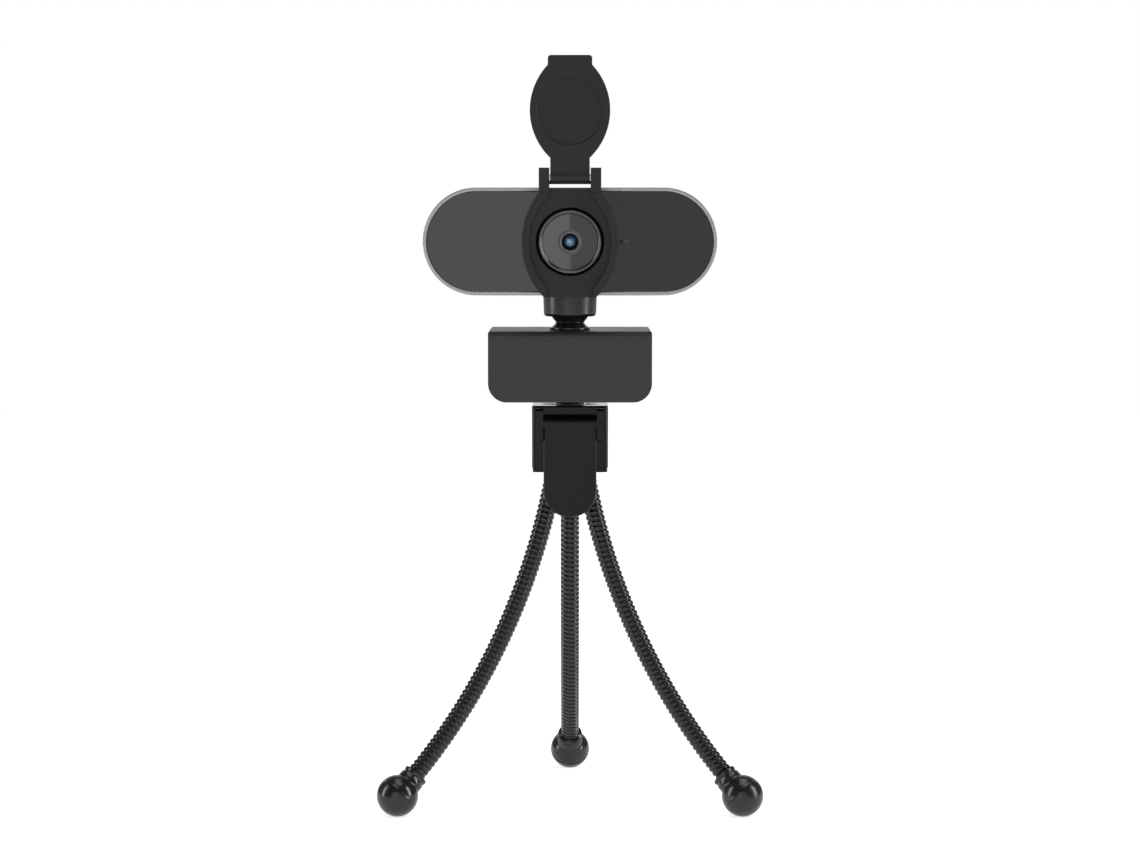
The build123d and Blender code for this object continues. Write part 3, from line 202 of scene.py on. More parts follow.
def machined(name, colour, roughness, along=(1.0, 1.0, 1.0), scratch=0.5, depth=0.006):
    """Metal with fine tool lines along one direction and slightly varying brightness."""
    made = Finish(name, colour, roughness, Metallic=1.0)
    lines = made.noise(scratch, detail=4.0, place=made.stretched(*along))
    patches = made.noise(6.0, detail=3.0)
    made.feed("Base Color", made.mix(made.range(lines, 0.0, 1.0), tuple(c * 0.82 for c in colour), colour))
    made.feed("Roughness", made.range(patches, roughness - 0.06, roughness + 0.08))
    made.bump(lines, depth)
    return made.material


def rubbery(name, colour, roughness, grain=0.5, depth=0.03):
    """Moulded rubber: pebbled skin with dusty high spots."""
    made = Finish(name, colour, roughness)
    pebbles, dust = made.cells(grain), made.noise(5.0, detail=5.0)
    pale = tuple(c * 1.6 + 0.004 for c in colour)
    made.feed("Base Color", made.mix(made.range(dust, 0.0, 0.8, 0.45, 0.75), colour, pale))
    made.feed("Roughness", made.range(dust, roughness - 0.04, roughness + 0.08))
    made.bump(1.0 - pebbles * 1.4, depth)
    return made.material


def anodised(name, colour, roughness, metallic):
    """Blasted and dyed aluminium: even satin sparkle with a very fine grain."""
    made = Finish(name, colour, roughness, Metallic=metallic)
    beads, drift = made.noise(0.16, detail=2.0), made.noise(20.0, detail=2.0)
    made.feed("Base Color", made.mix(made.range(beads, 0.0, 1.0), tuple(c * 0.85 for c in colour), colour))
    made.feed("Roughness", made.range(drift, roughness - 0.03, roughness + 0.04))
    made.bump(beads, 0.005)
    return made.material


def painted_reflection_lens():
    """Lens glass with the coating's reflection painted into its colour: a painted teal highlight in the
    middle, fading through blue to near-black violet at the edge.
    """
    made = Finish("lens_painted_reflection", (0.01, 0.02, 0.05), 0.03, Coat_Weight=1.0, Coat_Roughness=0.02)
    centre = middle_mm("lens_elements") * MM
    shifted = made.node(
        "ShaderNodeMapping",
        {"vector_type": "POINT"},
        {"Vector": made.place, "Location": (-centre.x, 0.0, -centre.z), "Scale": (1.0, 0.0, 1.0)},
    )
    radius = made.node("ShaderNodeVectorMath", {"operation": "LENGTH"}, {0: shifted}, output="Value")
    # painted reflection: full at the lens axis, gone 2.2 mm out
    painted_reflection_mask = made.range(radius, 1.0, 0.0, 0.0, 0.0022)
    rim = made.mix(painted_reflection_mask, (0.003, 0.003, 0.012), (0.03, 0.16, 0.34))
    made.feed("Base Color", made.mix(made.range(painted_reflection_mask, 0.0, 1.0, 0.72, 0.95), rim, (0.10, 0.42, 0.50)))
    swirl = made.noise(1.4, detail=2.0)
    made.feed("Roughness", made.range(swirl, 0.02, 0.06))
    return made.material


def printed_board():
    """Solder mask with copper tracks under it."""
    made = Finish("board_green", (0.01, 0.06, 0.03), 0.35)
    tracks = made.node(
        "ShaderNodeTexBrick",
        {"offset": 0.5},
        {
            "Vector": made.node(
                "ShaderNodeMapping", None, {"Vector": made.place, "Rotation": (radians(90), 0.0, 0.0)}
            ),
            "Color1": (0.010, 0.070, 0.030, 1.0),
            "Color2": (0.014, 0.085, 0.040, 1.0),
            "Mortar": (0.030, 0.150, 0.060, 1.0),
            "Scale": 320.0,
            "Mortar Size": 0.03,
        },
    )
    made.feed("Base Color", tracks)
    made.feed("Roughness", made.range(made.noise(1.0), 0.28, 0.42))
    made.bump(made.noise(0.6, detail=3.0), 0.02)
    return made.material


GREY_SHELL = moulded(
    "grey_shell_texture", (0.015, 0.015, 0.016), 0.46, grain=0.30, depth=0.016, Specular_IOR_Level=0.34
)
SATIN_BLACK = moulded(
    "satin_black", (0.006, 0.006, 0.007), 0.30, grain=0.5, depth=0.006, Specular_IOR_Level=0.4
)
MATTE_COVER = moulded(
    "cover_matte", (0.0065, 0.0065, 0.007), 0.44, grain=0.22, depth=0.010, Specular_IOR_Level=0.26
)
FACE_GLOSS = polished("face_gloss", (0.0022, 0.0022, 0.0026), 0.035)
HUB_GLOSS = polished("hub_gloss", (0.0016, 0.0016, 0.0022), 0.15, Specular_IOR_Level=0.17)
BARREL_BLACK = anodised("barrel_black", (0.012, 0.012, 0.013), 0.26, 0.25)
TRIM_BLACK = anodised("trim_black", (0.070, 0.070, 0.075), 0.22, 0.8)
GUNMETAL = anodised("gunmetal", (0.045, 0.045, 0.048), 0.30, 0.75)
RIM_SILVER = anodised("rim_silver", (0.27, 0.27, 0.285), 0.32, 0.9)
GOOSENECK_COAT = polished("gooseneck_coat", (0.0022, 0.0022, 0.003), 0.20, Specular_IOR_Level=0.40)
PAD_RUBBER = rubbery("pad_rubber", (0.008, 0.008, 0.008), 0.60)
FOOT_RUBBER = moulded(
    "foot_vinyl", (0.004, 0.004, 0.005), 0.24, grain=0.7, depth=0.006, Specular_IOR_Level=0.40
)
STEEL = machined("turned_steel", (0.55, 0.55, 0.56), 0.24, along=(0.12, 1.0, 1.0))
BLACK_STEEL = machined("blacked_steel", (0.06, 0.06, 0.065), 0.32)
BRASS = machined("turned_brass", (0.72, 0.50, 0.22), 0.26)
NYLON = moulded("natural_nylon", (0.55, 0.55, 0.51), 0.42, grain=0.8, depth=0.02, mottle=0.06)
GLASS_BLACK = polished("glass_black", (0.0015, 0.0015, 0.002), 0.02, Coat_Weight=0.5, Coat_Roughness=0.01)
LENS_RING_GREY = anodised("lens_ring_grey", (0.10, 0.10, 0.105), 0.30, 0.6)
# the lens elements carry a painted reflection of their coating in their base colour
LENS_PAINTED_REFLECTION = painted_reflection_lens()
BOARD_GREEN = printed_board()
CHIP_BLACK = moulded("chip_black", (0.012, 0.012, 0.013), 0.45, grain=0.3, depth=0.02)
FILTER_TINT = polished("filter_tint", (0.10, 0.015, 0.02), 0.04, Coat_Weight=1.0)
WINDOW_SMOKE = polished("window_smoke", (0.016, 0.016, 0.018), 0.06)
LED_WHITE = moulded("led_body", (0.55, 0.55, 0.50), 0.30, grain=0.4, depth=0.004, mottle=0.06)


# ---------------------------------------------------------------- making pieces
MERGE = 0.0005
CAD_MERGE = 0.002
FLAT_WITHIN = radians(0.6)
SMOOTH_BELOW = radians(50.0)


def round_edges(work, width, segments=2, sharper_than=32.0):
    """Bevels each edge whose faces turn by more than this many degrees."""
    sharp = [
        e
        for e in work.edges
        if len(e.link_faces) == 2 and e.calc_face_angle(0.0) > radians(sharper_than)
    ]
    bmesh.ops.bevel(
        work,
        geom=sharp,
        offset=width,
        offset_type="OFFSET",
        segments=segments,
        profile=0.5,
        affect="EDGES",
        clamp_overlap=True,
        material=-1,
    )


def finished(name, work, finish, body=None, stands_for=(), outwards=True, flats=True):
    """Turns a mesh drawn in millimetres into a piece; its flats stay flat beside rounded edges."""
    bmesh.ops.remove_doubles(work, verts=work.verts, dist=MERGE)
    if outwards:
        bmesh.ops.recalc_face_normals(work, faces=work.faces)
    bmesh.ops.scale(work, vec=(MM, MM, MM), verts=work.verts)
    mesh = bpy.data.meshes.new(name)
    work.to_mesh(mesh)
    work.free()
    mesh.materials.append(finish)
    mesh.shade_smooth()
    mesh.set_sharp_from_angle(angle=SMOOTH_BELOW)
    made = bpy.data.objects.new(name, mesh)
    bpy.context.scene.collection.objects.link(made)
    if flats:
        weighing = made.modifiers.new("flats", "WEIGHTED_NORMAL")
        weighing.keep_sharp = True
        weighing.weight = 100
    if body:
        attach(made, body)
    if stands_for:
        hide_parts(*stands_for)
    return made


def softened(node, body, finish, width, segments):
    """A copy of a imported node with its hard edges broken, as a moulding or a tumbled part has them."""
    work = bmesh.new()
    work.from_mesh(frame["nodes"][node].data)
    bmesh.ops.scale(work, vec=(1 / MM, 1 / MM, 1 / MM), verts=work.verts)
    bmesh.ops.remove_doubles(work, verts=work.verts, dist=CAD_MERGE)
    bmesh.ops.dissolve_limit(
        work, angle_limit=FLAT_WITHIN, verts=work.verts, edges=work.edges, delimit={"NORMAL"}
    )
    round_edges(work, width, segments)
    return finished(node + "_soft", work, finish, body, (node,), outwards=False)


def turned(profile, origin, axis, steps=96, width=0.0):
    """A ring or a solid of revolution from (radius, distance along the axis) points, in millimetres."""
    work = bmesh.new()
    axis = Vector(axis).normalized()
    across = axis.orthogonal().normalized()
    origin = Vector(origin)
    points = [work.verts.new(origin + across * r + axis * s) for r, s in profile]
    closed = profile[0][0] > 0.0 and profile[-1][0] > 0.0
    edges = [work.edges.new(pair) for pair in zip(points, points[1:])]
    if closed:
        edges.append(work.edges.new((points[-1], points[0])))
    bmesh.ops.spin(
        work,
        geom=points + edges,
        cent=origin,
        axis=axis,
        dvec=(0, 0, 0),
        angle=2 * pi,
        steps=steps,
        use_merge=True,
        use_duplicate=False,
    )
    bmesh.ops.remove_doubles(work, verts=work.verts, dist=MERGE)
    bmesh.ops.recalc_face_normals(work, faces=work.faces)
    if width:
        round_edges(work, width, sharper_than=30.0)
    return work


# ---------------------------------------------------------------- lens unit
rim_low, rim_high = box_mm("front_rim")
lens_middle = middle_mm("lens_barrel")
FACE_Y = rim_low.y
LENS_ORIGIN = (lens_middle.x, FACE_Y, lens_middle.z)
FORWARD = (0, -1, 0)


def reach_mm(node):
    """How far a node comes forward of the face."""
    return FACE_Y - box_mm(node)[0].y


def depth_mm(node):
    """How far a node goes back behind the face, as a negative reach."""
    return FACE_Y - box_mm(node)[1].y


def lens_part(name, profile, finish, width, node, steps=128):
    """A turned piece on the lens axis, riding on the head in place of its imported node."""
    work = turned(profile, LENS_ORIGIN, FORWARD, steps=steps, width=width)
    return finished(name, work, finish, "head", (node,))


collar_r, collar_h, collar_back = radius_mm("lens_collar"), reach_mm("lens_collar"), depth_mm("lens_collar")
barrel_h = reach_mm("lens_barrel")
trim_r, trim_h = radius_mm("barrel_trim_ring"), reach_mm("barrel_trim_ring")
glass_r, glass_h, glass_back = (
    radius_mm("lens_cover_glass"),
    reach_mm("lens_cover_glass"),
    depth_mm("lens_cover_glass"),
)
ring_r, ring_h, ring_back = radius_mm("lens_ring"), reach_mm("lens_ring"), depth_mm("lens_ring")
FIT = 0.05
BARREL_TAPER = 0.5
COLLAR_LIP = 0.7
COLLAR_RECESS = 1.15
COLLAR_SINK = 0.25
barrel_r = trim_r + BARREL_TAPER

lens_part(
    "lens_collar_turned",
    [
        (barrel_r + FIT, collar_back),
        (collar_r - COLLAR_LIP, collar_back),
        (collar_r - COLLAR_LIP, -0.15),
        (collar_r, -0.15),
        (collar_r, 0.5),
        (collar_r - 0.28, 0.72),
        (collar_r - COLLAR_LIP, collar_h),
        (collar_r - COLLAR_RECESS, collar_h),
        (collar_r - COLLAR_RECESS, collar_h - COLLAR_SINK),
        (barrel_r + FIT, collar_h - COLLAR_SINK),
    ],
    BARREL_BLACK,
    0.09,
    "lens_collar",
)

BARREL_BORE = 5.05
BARREL_BACK = -3.0
BARREL_FLOOR = 1.5
FLANGE_FRONT = -1.6
FLANGE_WIDTH = 1.8
TAPER_START = 2.0
GLASS_LEDGE = 0.95
GROOVES_FROM_FRONT = (1.5, 0.9)
GROOVE_DEPTH = 0.14
barrel_profile = [
    (BARREL_BORE, BARREL_BACK),
    (barrel_r + FLANGE_WIDTH, BARREL_BACK),
    (barrel_r + FLANGE_WIDTH, FLANGE_FRONT),
    (barrel_r, FLANGE_FRONT),
    (barrel_r, TAPER_START),
]
slope = BARREL_TAPER / (barrel_h - TAPER_START)
for groove in GROOVES_FROM_FRONT:
    at = barrel_h - groove
    r = trim_r + groove * slope
    floor_r = r - GROOVE_DEPTH
    barrel_profile += [(r, at - 0.12), (floor_r, at - 0.08), (floor_r, at + 0.08), (r, at + 0.12)]
barrel_profile += [
    (trim_r, barrel_h),
    (glass_r + FIT, barrel_h),
    (glass_r + FIT, glass_back),
    (glass_r - GLASS_LEDGE, glass_back),
    (glass_r - GLASS_LEDGE, BARREL_FLOOR),
    (BARREL_BORE, BARREL_FLOOR),
]
lens_part("lens_barrel_turned", barrel_profile, BARREL_BLACK, 0.05, "lens_barrel")

lens_part(
    "trim_ring_turned",
    [
        (glass_r + FIT, barrel_h),
        (trim_r, barrel_h),
        (trim_r, trim_h - 0.3),
        (trim_r - 0.08, trim_h - 0.12),
        (trim_r - 0.25, trim_h),
        (trim_r - 0.6, trim_h),
        (trim_r - 0.72, trim_h - 0.1),
        (glass_r + FIT, trim_h - 0.5),
    ],
    TRIM_BLACK,
    0.04,
    "barrel_trim_ring",
)

GLASS_CHAMFER = 0.1
lens_part(
    "lens_cover_glass_polished",
    [
        (ring_r, glass_back),
        (glass_r - GLASS_CHAMFER, glass_back),
        (glass_r, glass_back + GLASS_CHAMFER),
        (glass_r, glass_h - GLASS_CHAMFER),
        (glass_r - GLASS_CHAMFER, glass_h),
        (ring_r + FIT, glass_h),
        (ring_r, glass_h - FIT),
    ],
    GLASS_BLACK,
    0.0,
    "lens_cover_glass",
)

RING_WALL = 0.7
lens_part(
    "lens_ring_stepped",
    [
        (ring_r - RING_WALL, ring_back),
        (ring_r, ring_back),
        (ring_r, ring_h - 0.08),
        (ring_r - 0.08, ring_h),
        (ring_r - 0.3, ring_h),
        (ring_r - 0.42, ring_h - 0.14),
        (ring_r - 0.55, ring_h - 0.18),
        (ring_r - RING_WALL, ring_h - 0.4),
        (ring_r - RING_WALL, ring_h - 0.9),
    ],
    LENS_RING_GREY,
    0.03,
    "lens_ring",
)

tube_h, tube_back, tube_r = reach_mm("lens_tube"), depth_mm("lens_tube"), radius_mm("lens_tube")
tube_bore = radius_mm("lens_elements")
THREAD_TURNS, THREAD_PITCH, THREAD_DEPTH = 9, 0.5, 0.18
thread_start = tube_back + 0.6
tube_profile = [(tube_bore, tube_back), (tube_r, tube_back)]
for turn in range(THREAD_TURNS):
    at = thread_start + turn * THREAD_PITCH
    tube_profile += [(tube_r, at), (tube_r - THREAD_DEPTH, at + THREAD_PITCH / 2)]
tube_profile += [
    (tube_r, thread_start + THREAD_TURNS * THREAD_PITCH),
    (tube_r, tube_h - 0.4),
    (tube_r - 0.4, tube_h),
    (tube_bore + 0.35, tube_h),
    (tube_bore, tube_h - 0.45),
]
lens_part("lens_tube_threaded", tube_profile, SATIN_BLACK, 0.0, "lens_tube", steps=96)


BEAD_THICKNESS, BEAD_SAG = 1.4, 0.7


def lens_bead(name, front):
    """One glass element: domed front, flat ground edge."""
    back = front - BEAD_THICKNESS
    points = [(0.0, back), (tube_bore, back), (tube_bore, front)]
    for share in (0.85, 0.68, 0.5, 0.32, 0.16):
        points.append((tube_bore * share, front + BEAD_SAG * (1 - share * share)))
    points.append((0.0, front + BEAD_SAG))
    work = turned(points, LENS_ORIGIN, FORWARD, steps=72)
    return finished(name, work, LENS_PAINTED_REFLECTION, "head")


front_element = lens_bead("lens_element_front", tube_h - 0.9)
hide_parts("lens_elements")
lens_bead("lens_element_middle", 3.0)
lens_bead("lens_element_rear", -2.5)


# ---------------------------------------------------------------- head casing
def racetrack(work, width, height, y, steps=128):
    """Adds a wire stadium in a plane facing forward: a circle whose halves are pulled apart."""
    made = bmesh.ops.create_circle(work, cap_ends=False, radius=height / 2, segments=steps)["verts"]
    bmesh.ops.rotate(work, cent=(0, 0, 0), matrix=Matrix.Rotation(radians(90), 3, "X"), verts=made)
    pull = (width - height) / 2
    for sign in (-1, 1):
        half = [v for v in made if v.co.x * sign > 0.001]
        bmesh.ops.translate(work, vec=(sign * pull, 0, 0), verts=half)
    bmesh.ops.translate(work, vec=(lens_middle.x, y, lens_middle.z), verts=made)
    return made


RIM_BORDER = 1.2


def stadium_ring():
    """The silver rim: a satin frame with rounded edges."""
    width, height, depth = rim_high.x - rim_low.x, rim_high.z - rim_low.z, rim_high.y - rim_low.y
    work = bmesh.new()
    racetrack(work, width, height, rim_low.y)
    racetrack(work, width - 2 * RIM_BORDER, height - 2 * RIM_BORDER, rim_low.y)
    bmesh.ops.bridge_loops(work, edges=work.edges[:])
    grown = bmesh.ops.extrude_face_region(work, geom=work.faces[:], use_keep_orig=True)
    moved = [v for v in grown["geom"] if isinstance(v, bmesh.types.BMVert)]
    bmesh.ops.translate(work, vec=(0, depth, 0), verts=moved)
    bmesh.ops.recalc_face_normals(work, faces=work.faces)
    round_edges(work, 0.3, segments=3, sharper_than=50.0)
    return work


finished("front_rim_satin", stadium_ring(), RIM_SILVER, "head", ("front_rim",))


# ---------------------------------------------------------------- goosenecks
RIB_PITCH = 1.7
RIB_PROFILE = ((2.62, 0.0), (2.86, 0.12), (3.0, 0.42), (3.0, 0.98), (2.86, 1.30), (2.62, 1.45))
RIB_STEPS = 28
STOCK_LENGTH = 125.0
TUBE_TOP = -5.0
TUBE_END_IN_FOOT = 5.0
BLEND_REACHES = ((3.0, 12.0), (14.0, 14.0), (14.0, 14.0))


def ribbed_tube(length):
    """A straight wound tube along +Z, each rib a turn of one long helix."""
    work = bmesh.new()
    profile = list(RIB_PROFILE) + [(RIB_PROFILE[0][0], RIB_PITCH)]
    points = [work.verts.new((r, 0, s)) for r, s in profile]
    edges = [work.edges.new(pair) for pair in zip(points, points[1:])]
    bmesh.ops.spin(
        work,
        geom=points + edges,
        cent=(0, 0, 0),
        axis=(0, 0, 1),
        dvec=(0, 0, RIB_PITCH / RIB_STEPS),
        angle=2 * pi,
        steps=RIB_STEPS,
        use_merge=False,
        use_duplicate=False,
    )
    turns = 1
    while turns * RIB_PITCH < length:
        twin = bmesh.ops.duplicate(work, geom=work.verts[:] + work.edges[:] + work.faces[:])
        raised = [v for v in twin["geom"] if isinstance(v, bmesh.types.BMVert)]
        bmesh.ops.translate(work, vec=(0, 0, turns * RIB_PITCH), verts=raised)
        turns *= 2
    bmesh.ops.remove_doubles(work, verts=work.verts, dist=0.004)
    bmesh.ops.recalc_face_normals(work, faces=work.faces)
    return work


def cut_level(work, height, keep_above):
    """Cuts a mesh at a height along Z and caps the cut."""
    cut = bmesh.ops.bisect_plane(
        work,
        geom=work.verts[:] + work.edges[:] + work.faces[:],
        dist=MERGE,
        plane_co=(0, 0, height),
        plane_no=(0, 0, -1 if keep_above else 1),
        clear_outer=True,
    )
    rim = [e for e in cut["geom_cut"] if isinstance(e, bmesh.types.BMEdge)]
    bmesh.ops.holes_fill(work, edges=rim, sides=0)


class LegPath:
    """The circle through a leg's three joints, measured along from the hip."""

    def __init__(self, side):
        hip, knee, ankle = (joint_mm(f"leg_{side}_{bend}") for bend in ("spread", "sideways", "curl"))
        chord, second = knee - hip, ankle - hip
        normal = chord.cross(second)
        self.across = normal.normalized()
        to_centre = (
            second.length_squared * normal.cross(chord) + chord.length_squared * second.cross(normal)
        ) / (2 * normal.length_squared)
        self.centre = hip + to_centre
        self.hip = hip - self.centre
        self.radius = self.hip.length
        self.knee_at = self.along(knee)
        self.ankle_at = self.along(ankle)
        self.foot_at = self.along(middle_mm(f"ball_foot_{side}"))

    def along(self, point):
        spoke = point - self.centre
        spoke -= self.across * spoke.dot(self.across)
        return self.hip.angle(spoke) * self.radius

    def frame_at(self, station):
        """Point on the centre line, outward spoke, and direction of travel."""
        turn = Matrix.Rotation(station / self.radius, 3, self.across)
        spoke = turn @ self.hip
        return self.centre + spoke, spoke.normalized(), self.across.cross(spoke).normalized()

    def bend(self, work):
        for v in work.verts:
            point, spoke, _ = self.frame_at(v.co.z)
            v.co = point + spoke * v.co.x + self.across * v.co.y


def leg_pieces(side):
    """The gooseneck in four pieces, cut midway between the hip and the knuckles, and its foot. Points for
    blending across the hip and both knuckles are found but not used, and only the end piece is attached to a
    leg body.
    """
    path = LegPath(side)
    mids = (
        path.knee_at / 2,
        (path.knee_at + path.ankle_at) / 2,
        (path.ankle_at + path.foot_at) / 2,
    )
    cuts = (TUBE_TOP, *mids, path.foot_at - TUBE_END_IN_FOOT)
    bodies = ("tripod_hub", f"leg_{side}_upper", f"leg_{side}_middle", f"leg_{side}_lower")
    stations = (0.0, path.knee_at, path.ankle_at)
    nodes = ("upper", "middle", "lower")
    for index, name in enumerate(("root", "thigh", "shin", "end")):
        work = RIBBED_STOCK.copy()
        bmesh.ops.translate(work, vec=(0, 0, TUBE_TOP - 2 * RIB_PITCH), verts=work.verts)
        cut_level(work, cuts[index], keep_above=True)
        cut_level(work, cuts[index + 1], keep_above=False)
        path.bend(work)
        made = finished(
            f"gooseneck_{side}_{name}", work, GOOSENECK_COAT, flats=False
        )
        if index < len(stations):
            before, after = BLEND_REACHES[index]
            start, _, _ = path.frame_at(stations[index] - before)
            end, _, _ = path.frame_at(stations[index] + after)
            start * MM
            end * MM
            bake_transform(made)
            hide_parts(f"gooseneck_{side}_{nodes[index]}")
        else:
            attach(made, bodies[3])
    foot_piece(side, path)


BALL_RADIUS = radius_mm("ball_foot_rear")
SLEEVE_RADIUS = 4.1
SLEEVE_BORE = 3.05
SEAM_DEPTH = 0.16
EQUATOR_DEGREE = 92


def foot_piece(side, path):
    """A moulded ball foot: sleeve with two rings, parting line round the ball, and a worn flat underneath."""
    point, _, travel = path.frame_at(path.foot_at)
    seam_r = BALL_RADIUS - SEAM_DEPTH
    profile = [(0.0, BALL_RADIUS)]
    for degree in range(8, 146, 6):
        if degree == EQUATOR_DEGREE:
            profile += [(BALL_RADIUS, 0.22), (seam_r, 0.12), (seam_r, -0.12), (BALL_RADIUS, -0.22)]
        profile.append((BALL_RADIUS * sin(radians(degree)), BALL_RADIUS * cos(radians(degree))))
    profile += [
        (SLEEVE_RADIUS, -BALL_RADIUS * 0.86),
        (SLEEVE_RADIUS, -BALL_RADIUS - 0.6),
        (SLEEVE_RADIUS - 0.35, -BALL_RADIUS - 0.9),
        (SLEEVE_RADIUS - 0.35, -BALL_RADIUS - 1.4),
        (SLEEVE_RADIUS - 0.1, -BALL_RADIUS - 1.7),
        (SLEEVE_RADIUS - 0.1, -BALL_RADIUS - 2.4),
        (SLEEVE_BORE, -BALL_RADIUS - 2.9),
        (SLEEVE_BORE, -BALL_RADIUS + 1.0),
        (0.0, -BALL_RADIUS + 1.0),
    ]
    work = turned(profile, point, travel)
    cut_level(work, box_mm(f"ball_foot_{side}")[0].z, keep_above=True)
    finished(
        f"ball_foot_{side}_moulded",
        work,
        FOOT_RUBBER,
        f"leg_{side}_lower",
        (f"ball_foot_{side}",),
    )


RIBBED_STOCK = ribbed_tube(STOCK_LENGTH)
for leg_side in LEG_SIDES:
    leg_pieces(leg_side)
RIBBED_STOCK.free()


# ---------------------------------------------------------------- platform disc
DISC_STEPS = 108
DISC_CHAMFER = 0.35


def knurled_disc():
    """The thumb disc under the clip: notched all round its edge so that fingers can turn it."""
    low, high = box_mm("platform_disc")
    centre, radius, thick = (low + high) / 2, radius_mm("platform_disc"), high.z - low.z
    bore = radius_mm("camera_screw")
    profile = [
        (bore, 0.0),
        (radius - DISC_CHAMFER, 0.0),
        (radius, DISC_CHAMFER),
        (radius, thick - DISC_CHAMFER),
        (radius - DISC_CHAMFER, thick),
        (bore, thick),
    ]
    work = turned(profile, (centre.x, centre.y, low.z), (0, 0, 1), steps=DISC_STEPS)

    def from_axis(face):
        return face.calc_center_median().xy - centre.xy

    edge = [f for f in work.faces if abs(f.normal.z) < 0.1 and from_axis(f).length > radius - 0.1]
    for step in range(0, DISC_STEPS, 3):
        low_turn, high_turn = (radians(s * 360 / DISC_STEPS) for s in (step, step + 2))
        notch = [
            f for f in edge if low_turn <= atan2(from_axis(f).y, from_axis(f).x) % (2 * pi) < high_turn
        ]
        bmesh.ops.inset_region(
            work, faces=notch, thickness=0.10, depth=-0.30, use_even_offset=True, use_boundary=True
        )
    return work


finished("platform_disc_knurled", knurled_disc(), HUB_GLOSS, "clip_leg", ("platform_disc",))


# ---------------------------------------------------------------- parts with broken edges
SOFTENED = (
    ("hub_block", "tripod_hub", HUB_GLOSS, "gloss_black", 0.45, 3),
    ("hub_base_plate", "tripod_hub", HUB_GLOSS, "gloss_black", 0.2, 2),
    ("leg_ferrules", "tripod_hub", BLACK_STEEL, "dark_metal", 0.15, 2),
    ("socket_retainer", "tripod_hub", BLACK_STEEL, "dark_metal", 0.15, 2),
    ("lock_lever", "lever", HUB_GLOSS, "gloss_black", 0.4, 3),
    ("friction_cup", "pan_cup", NYLON, "nylon", 0.15, 2),
    ("camera_screw", "clip_leg", STEEL, "steel", 0.08, 2),
    ("platform_pad", "clip_leg", PAD_RUBBER, "black_rubber", 0.2, 2),
    ("leg_shell", "clip_leg", GREY_SHELL, "grey_shell", 0.22, 2),
    ("leg_cover_plate", "clip_leg", SATIN_BLACK, "black_plastic", 0.15, 2),
    ("leg_pad", "clip_leg", PAD_RUBBER, "black_rubber", 0.25, 2),
    ("jaw_shell", "clip_jaw", GREY_SHELL, "grey_shell", 0.22, 2),
    ("jaw_liner", "clip_jaw", PAD_RUBBER, "black_rubber", 0.15, 2),
    ("neck_ball_stud", "neck_stud", SATIN_BLACK, "black_plastic", 0.12, 2),
    ("neck_socket", "head", SATIN_BLACK, "black_plastic", 0.25, 3),
    ("rear_housing", "head", GUNMETAL, "dark_metal", 0.15, 2),
    ("front_panel", "head", FACE_GLOSS, "gloss_black", 0.06, 2),
    ("indicator_window", "head", WINDOW_SMOKE, "window", 0.06, 2),
    ("cable_grommet", "head", PAD_RUBBER, "black_rubber", 0.2, 3),
    ("cover_base", "head", MATTE_COVER, "cover_plastic", 0.2, 2),
    ("cover_lid", "lid", MATTE_COVER, "cover_plastic", 0.22, 2),
)
for node, body, finish, slot, width, segments in SOFTENED:
    softened(node, body, finish, width, segments)


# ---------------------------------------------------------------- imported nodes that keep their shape
KEPT = {
    "hub_screw": STEEL,
    "brake_plunger": NYLON,
    "lever_pin": BLACK_STEEL,
    "tripod_ball": STEEL,
    "threaded_insert": BRASS,
    "leg_screws": STEEL,
    "clip_hinge_pin": BLACK_STEEL,
    "tension_screw": STEEL,
    "spring_washer": STEEL,
    "neck_screws": BLACK_STEEL,
    "lens_holder": CHIP_BLACK,
    "infrared_filter": FILTER_TINT,
    "image_sensor": CHIP_BLACK,
    "circuit_board": BOARD_GREEN,
    "board_screws": STEEL,
    "status_led": LED_WHITE,
    "microphone": CHIP_BLACK,
    "cover_hinge_pin": STEEL,
}
for node, finish in KEPT.items():
    for place in frame["nodes"][node].material_slots:
        place.material = finish


# ---------------------------------------------------------------- studio
FLOOR_HALF_SIZE = 2.0
FLOOR_GLOW = 0.62
AIR_ON_OBJECTS = 0.22
BACKDROP = 1.0
WHITE = (1.0, 1.0, 1.0, 1.0)


def floor_plane():
    work = bmesh.new()
    bmesh.ops.create_grid(work, x_segments=1, y_segments=1, size=FLOOR_HALF_SIZE)
    mesh = bpy.data.meshes.new("studio_floor")
    work.to_mesh(mesh)
    work.free()
    paper = Finish(
        "studio_paper", (0.93, 0.93, 0.93), 0.9, Emission_Color=WHITE, Emission_Strength=FLOOR_GLOW
    )
    paper.feed("Roughness", paper.range(paper.noise(300.0), 0.86, 0.94))
    mesh.materials.append(paper.material)
    made = bpy.data.objects.new("studio_floor", mesh)
    bpy.context.scene.collection.objects.link(made)


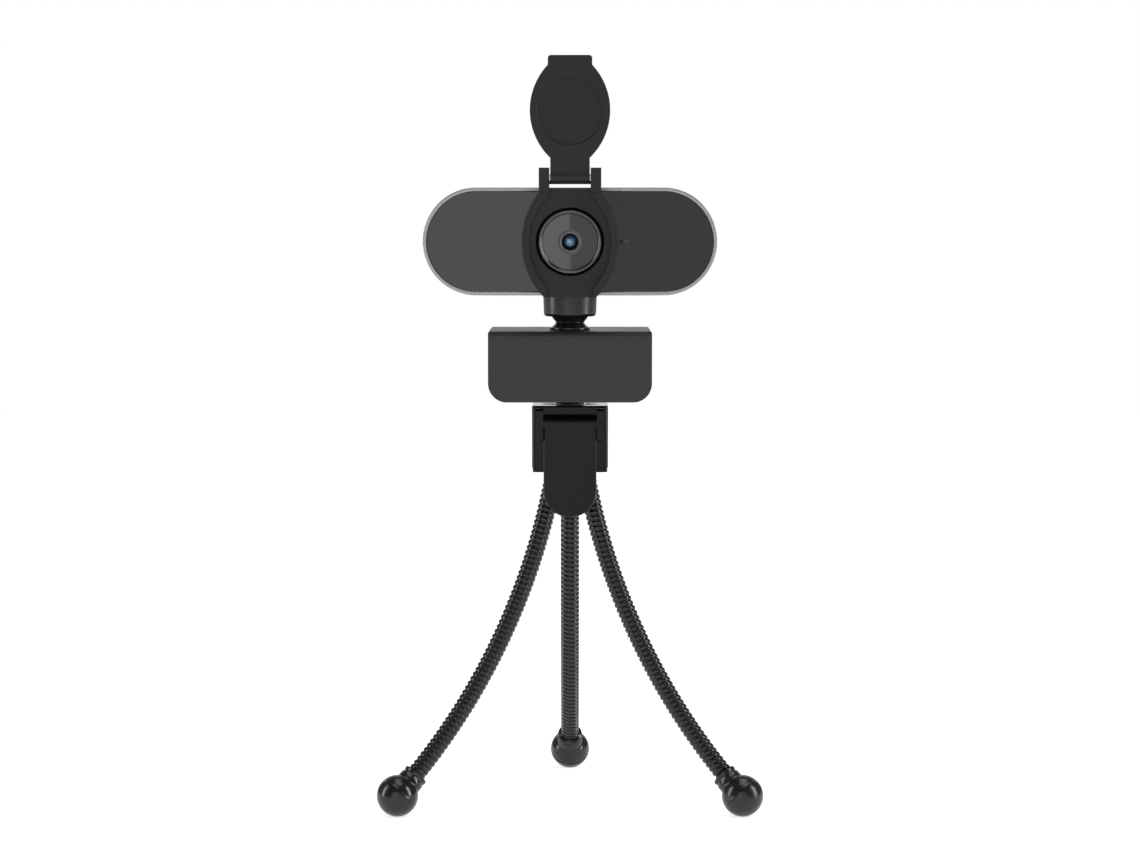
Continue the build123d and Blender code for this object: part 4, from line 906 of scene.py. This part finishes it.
def soft_light(name, place, aim, width, height, watts):
    lamp = bpy.data.lights.new(name, "AREA")
    lamp.shape, lamp.size, lamp.size_y, lamp.energy = "RECTANGLE", width, height, watts
    made = bpy.data.objects.new(name, lamp)
    made.location = place
    made.rotation_euler = (Vector(aim) - Vector(place)).to_track_quat("-Z", "Y").to_euler()
    made.visible_camera = False
    bpy.context.scene.collection.objects.link(made)


def studio_air():
    """Air that looks white behind the object but lights it only dimly."""
    world = bpy.data.worlds.new("studio_air")
    world.use_nodes = True
    nodes, links = world.node_tree.nodes, world.node_tree.links
    backdrop = nodes["Background"]
    dim_air = nodes.new("ShaderNodeBackground")
    for air, strength in ((backdrop, BACKDROP), (dim_air, AIR_ON_OBJECTS)):
        air.inputs["Color"].default_value = WHITE
        air.inputs["Strength"].default_value = strength
    seen = nodes.new("ShaderNodeLightPath")
    blend_air = nodes.new("ShaderNodeMixShader")
    links.new(seen.outputs["Is Camera Ray"], blend_air.inputs[0])
    links.new(dim_air.outputs[0], blend_air.inputs[1])
    links.new(backdrop.outputs[0], blend_air.inputs[2])
    links.new(blend_air.outputs[0], nodes["World Output"].inputs["Surface"])
    bpy.context.scene.world = world


floor_plane()
studio_air()
soft_light("left_card", (-0.4, -1.5, 0.35), (-0.4, 0.0, 0.35), 0.8, 0.8, 3.3)
soft_light("right_card", (0.4, -1.5, 0.35), (0.4, 0.0, 0.35), 0.8, 0.8, 1.6)
soft_light("back_card", (0.0, 3.0, 1.1), (0.0, 0.0, 1.1), 4.0, 2.0, 22.0)
soft_light("overhead", (0.1, 0.0, 1.2), (0.0, 0.0, 0.1), 1.0, 0.6, 5.0)
soft_light("left_strip", (-1.1, -0.15, 0.40), (0.0, 0.0, 0.12), 0.22, 1.0, 6.5)
soft_light("right_strip", (1.1, -0.30, 0.50), (0.0, 0.0, 0.12), 0.22, 1.0, 9.5)

camera = bpy.data.cameras.new("camera")
camera.lens = 108.0
camera.sensor_width = 36.0
viewpoint = bpy.data.objects.new("camera", camera)
viewpoint.location = (0.0, -1.1, 0.19)
target = Vector((0.0, 0.0, 0.118))
viewpoint.rotation_euler = (target - viewpoint.location).to_track_quat("-Z", "Y").to_euler()
bpy.context.scene.collection.objects.link(viewpoint)
bpy.context.scene.camera = viewpoint
bpy.context.scene.view_settings.view_transform = "Standard"
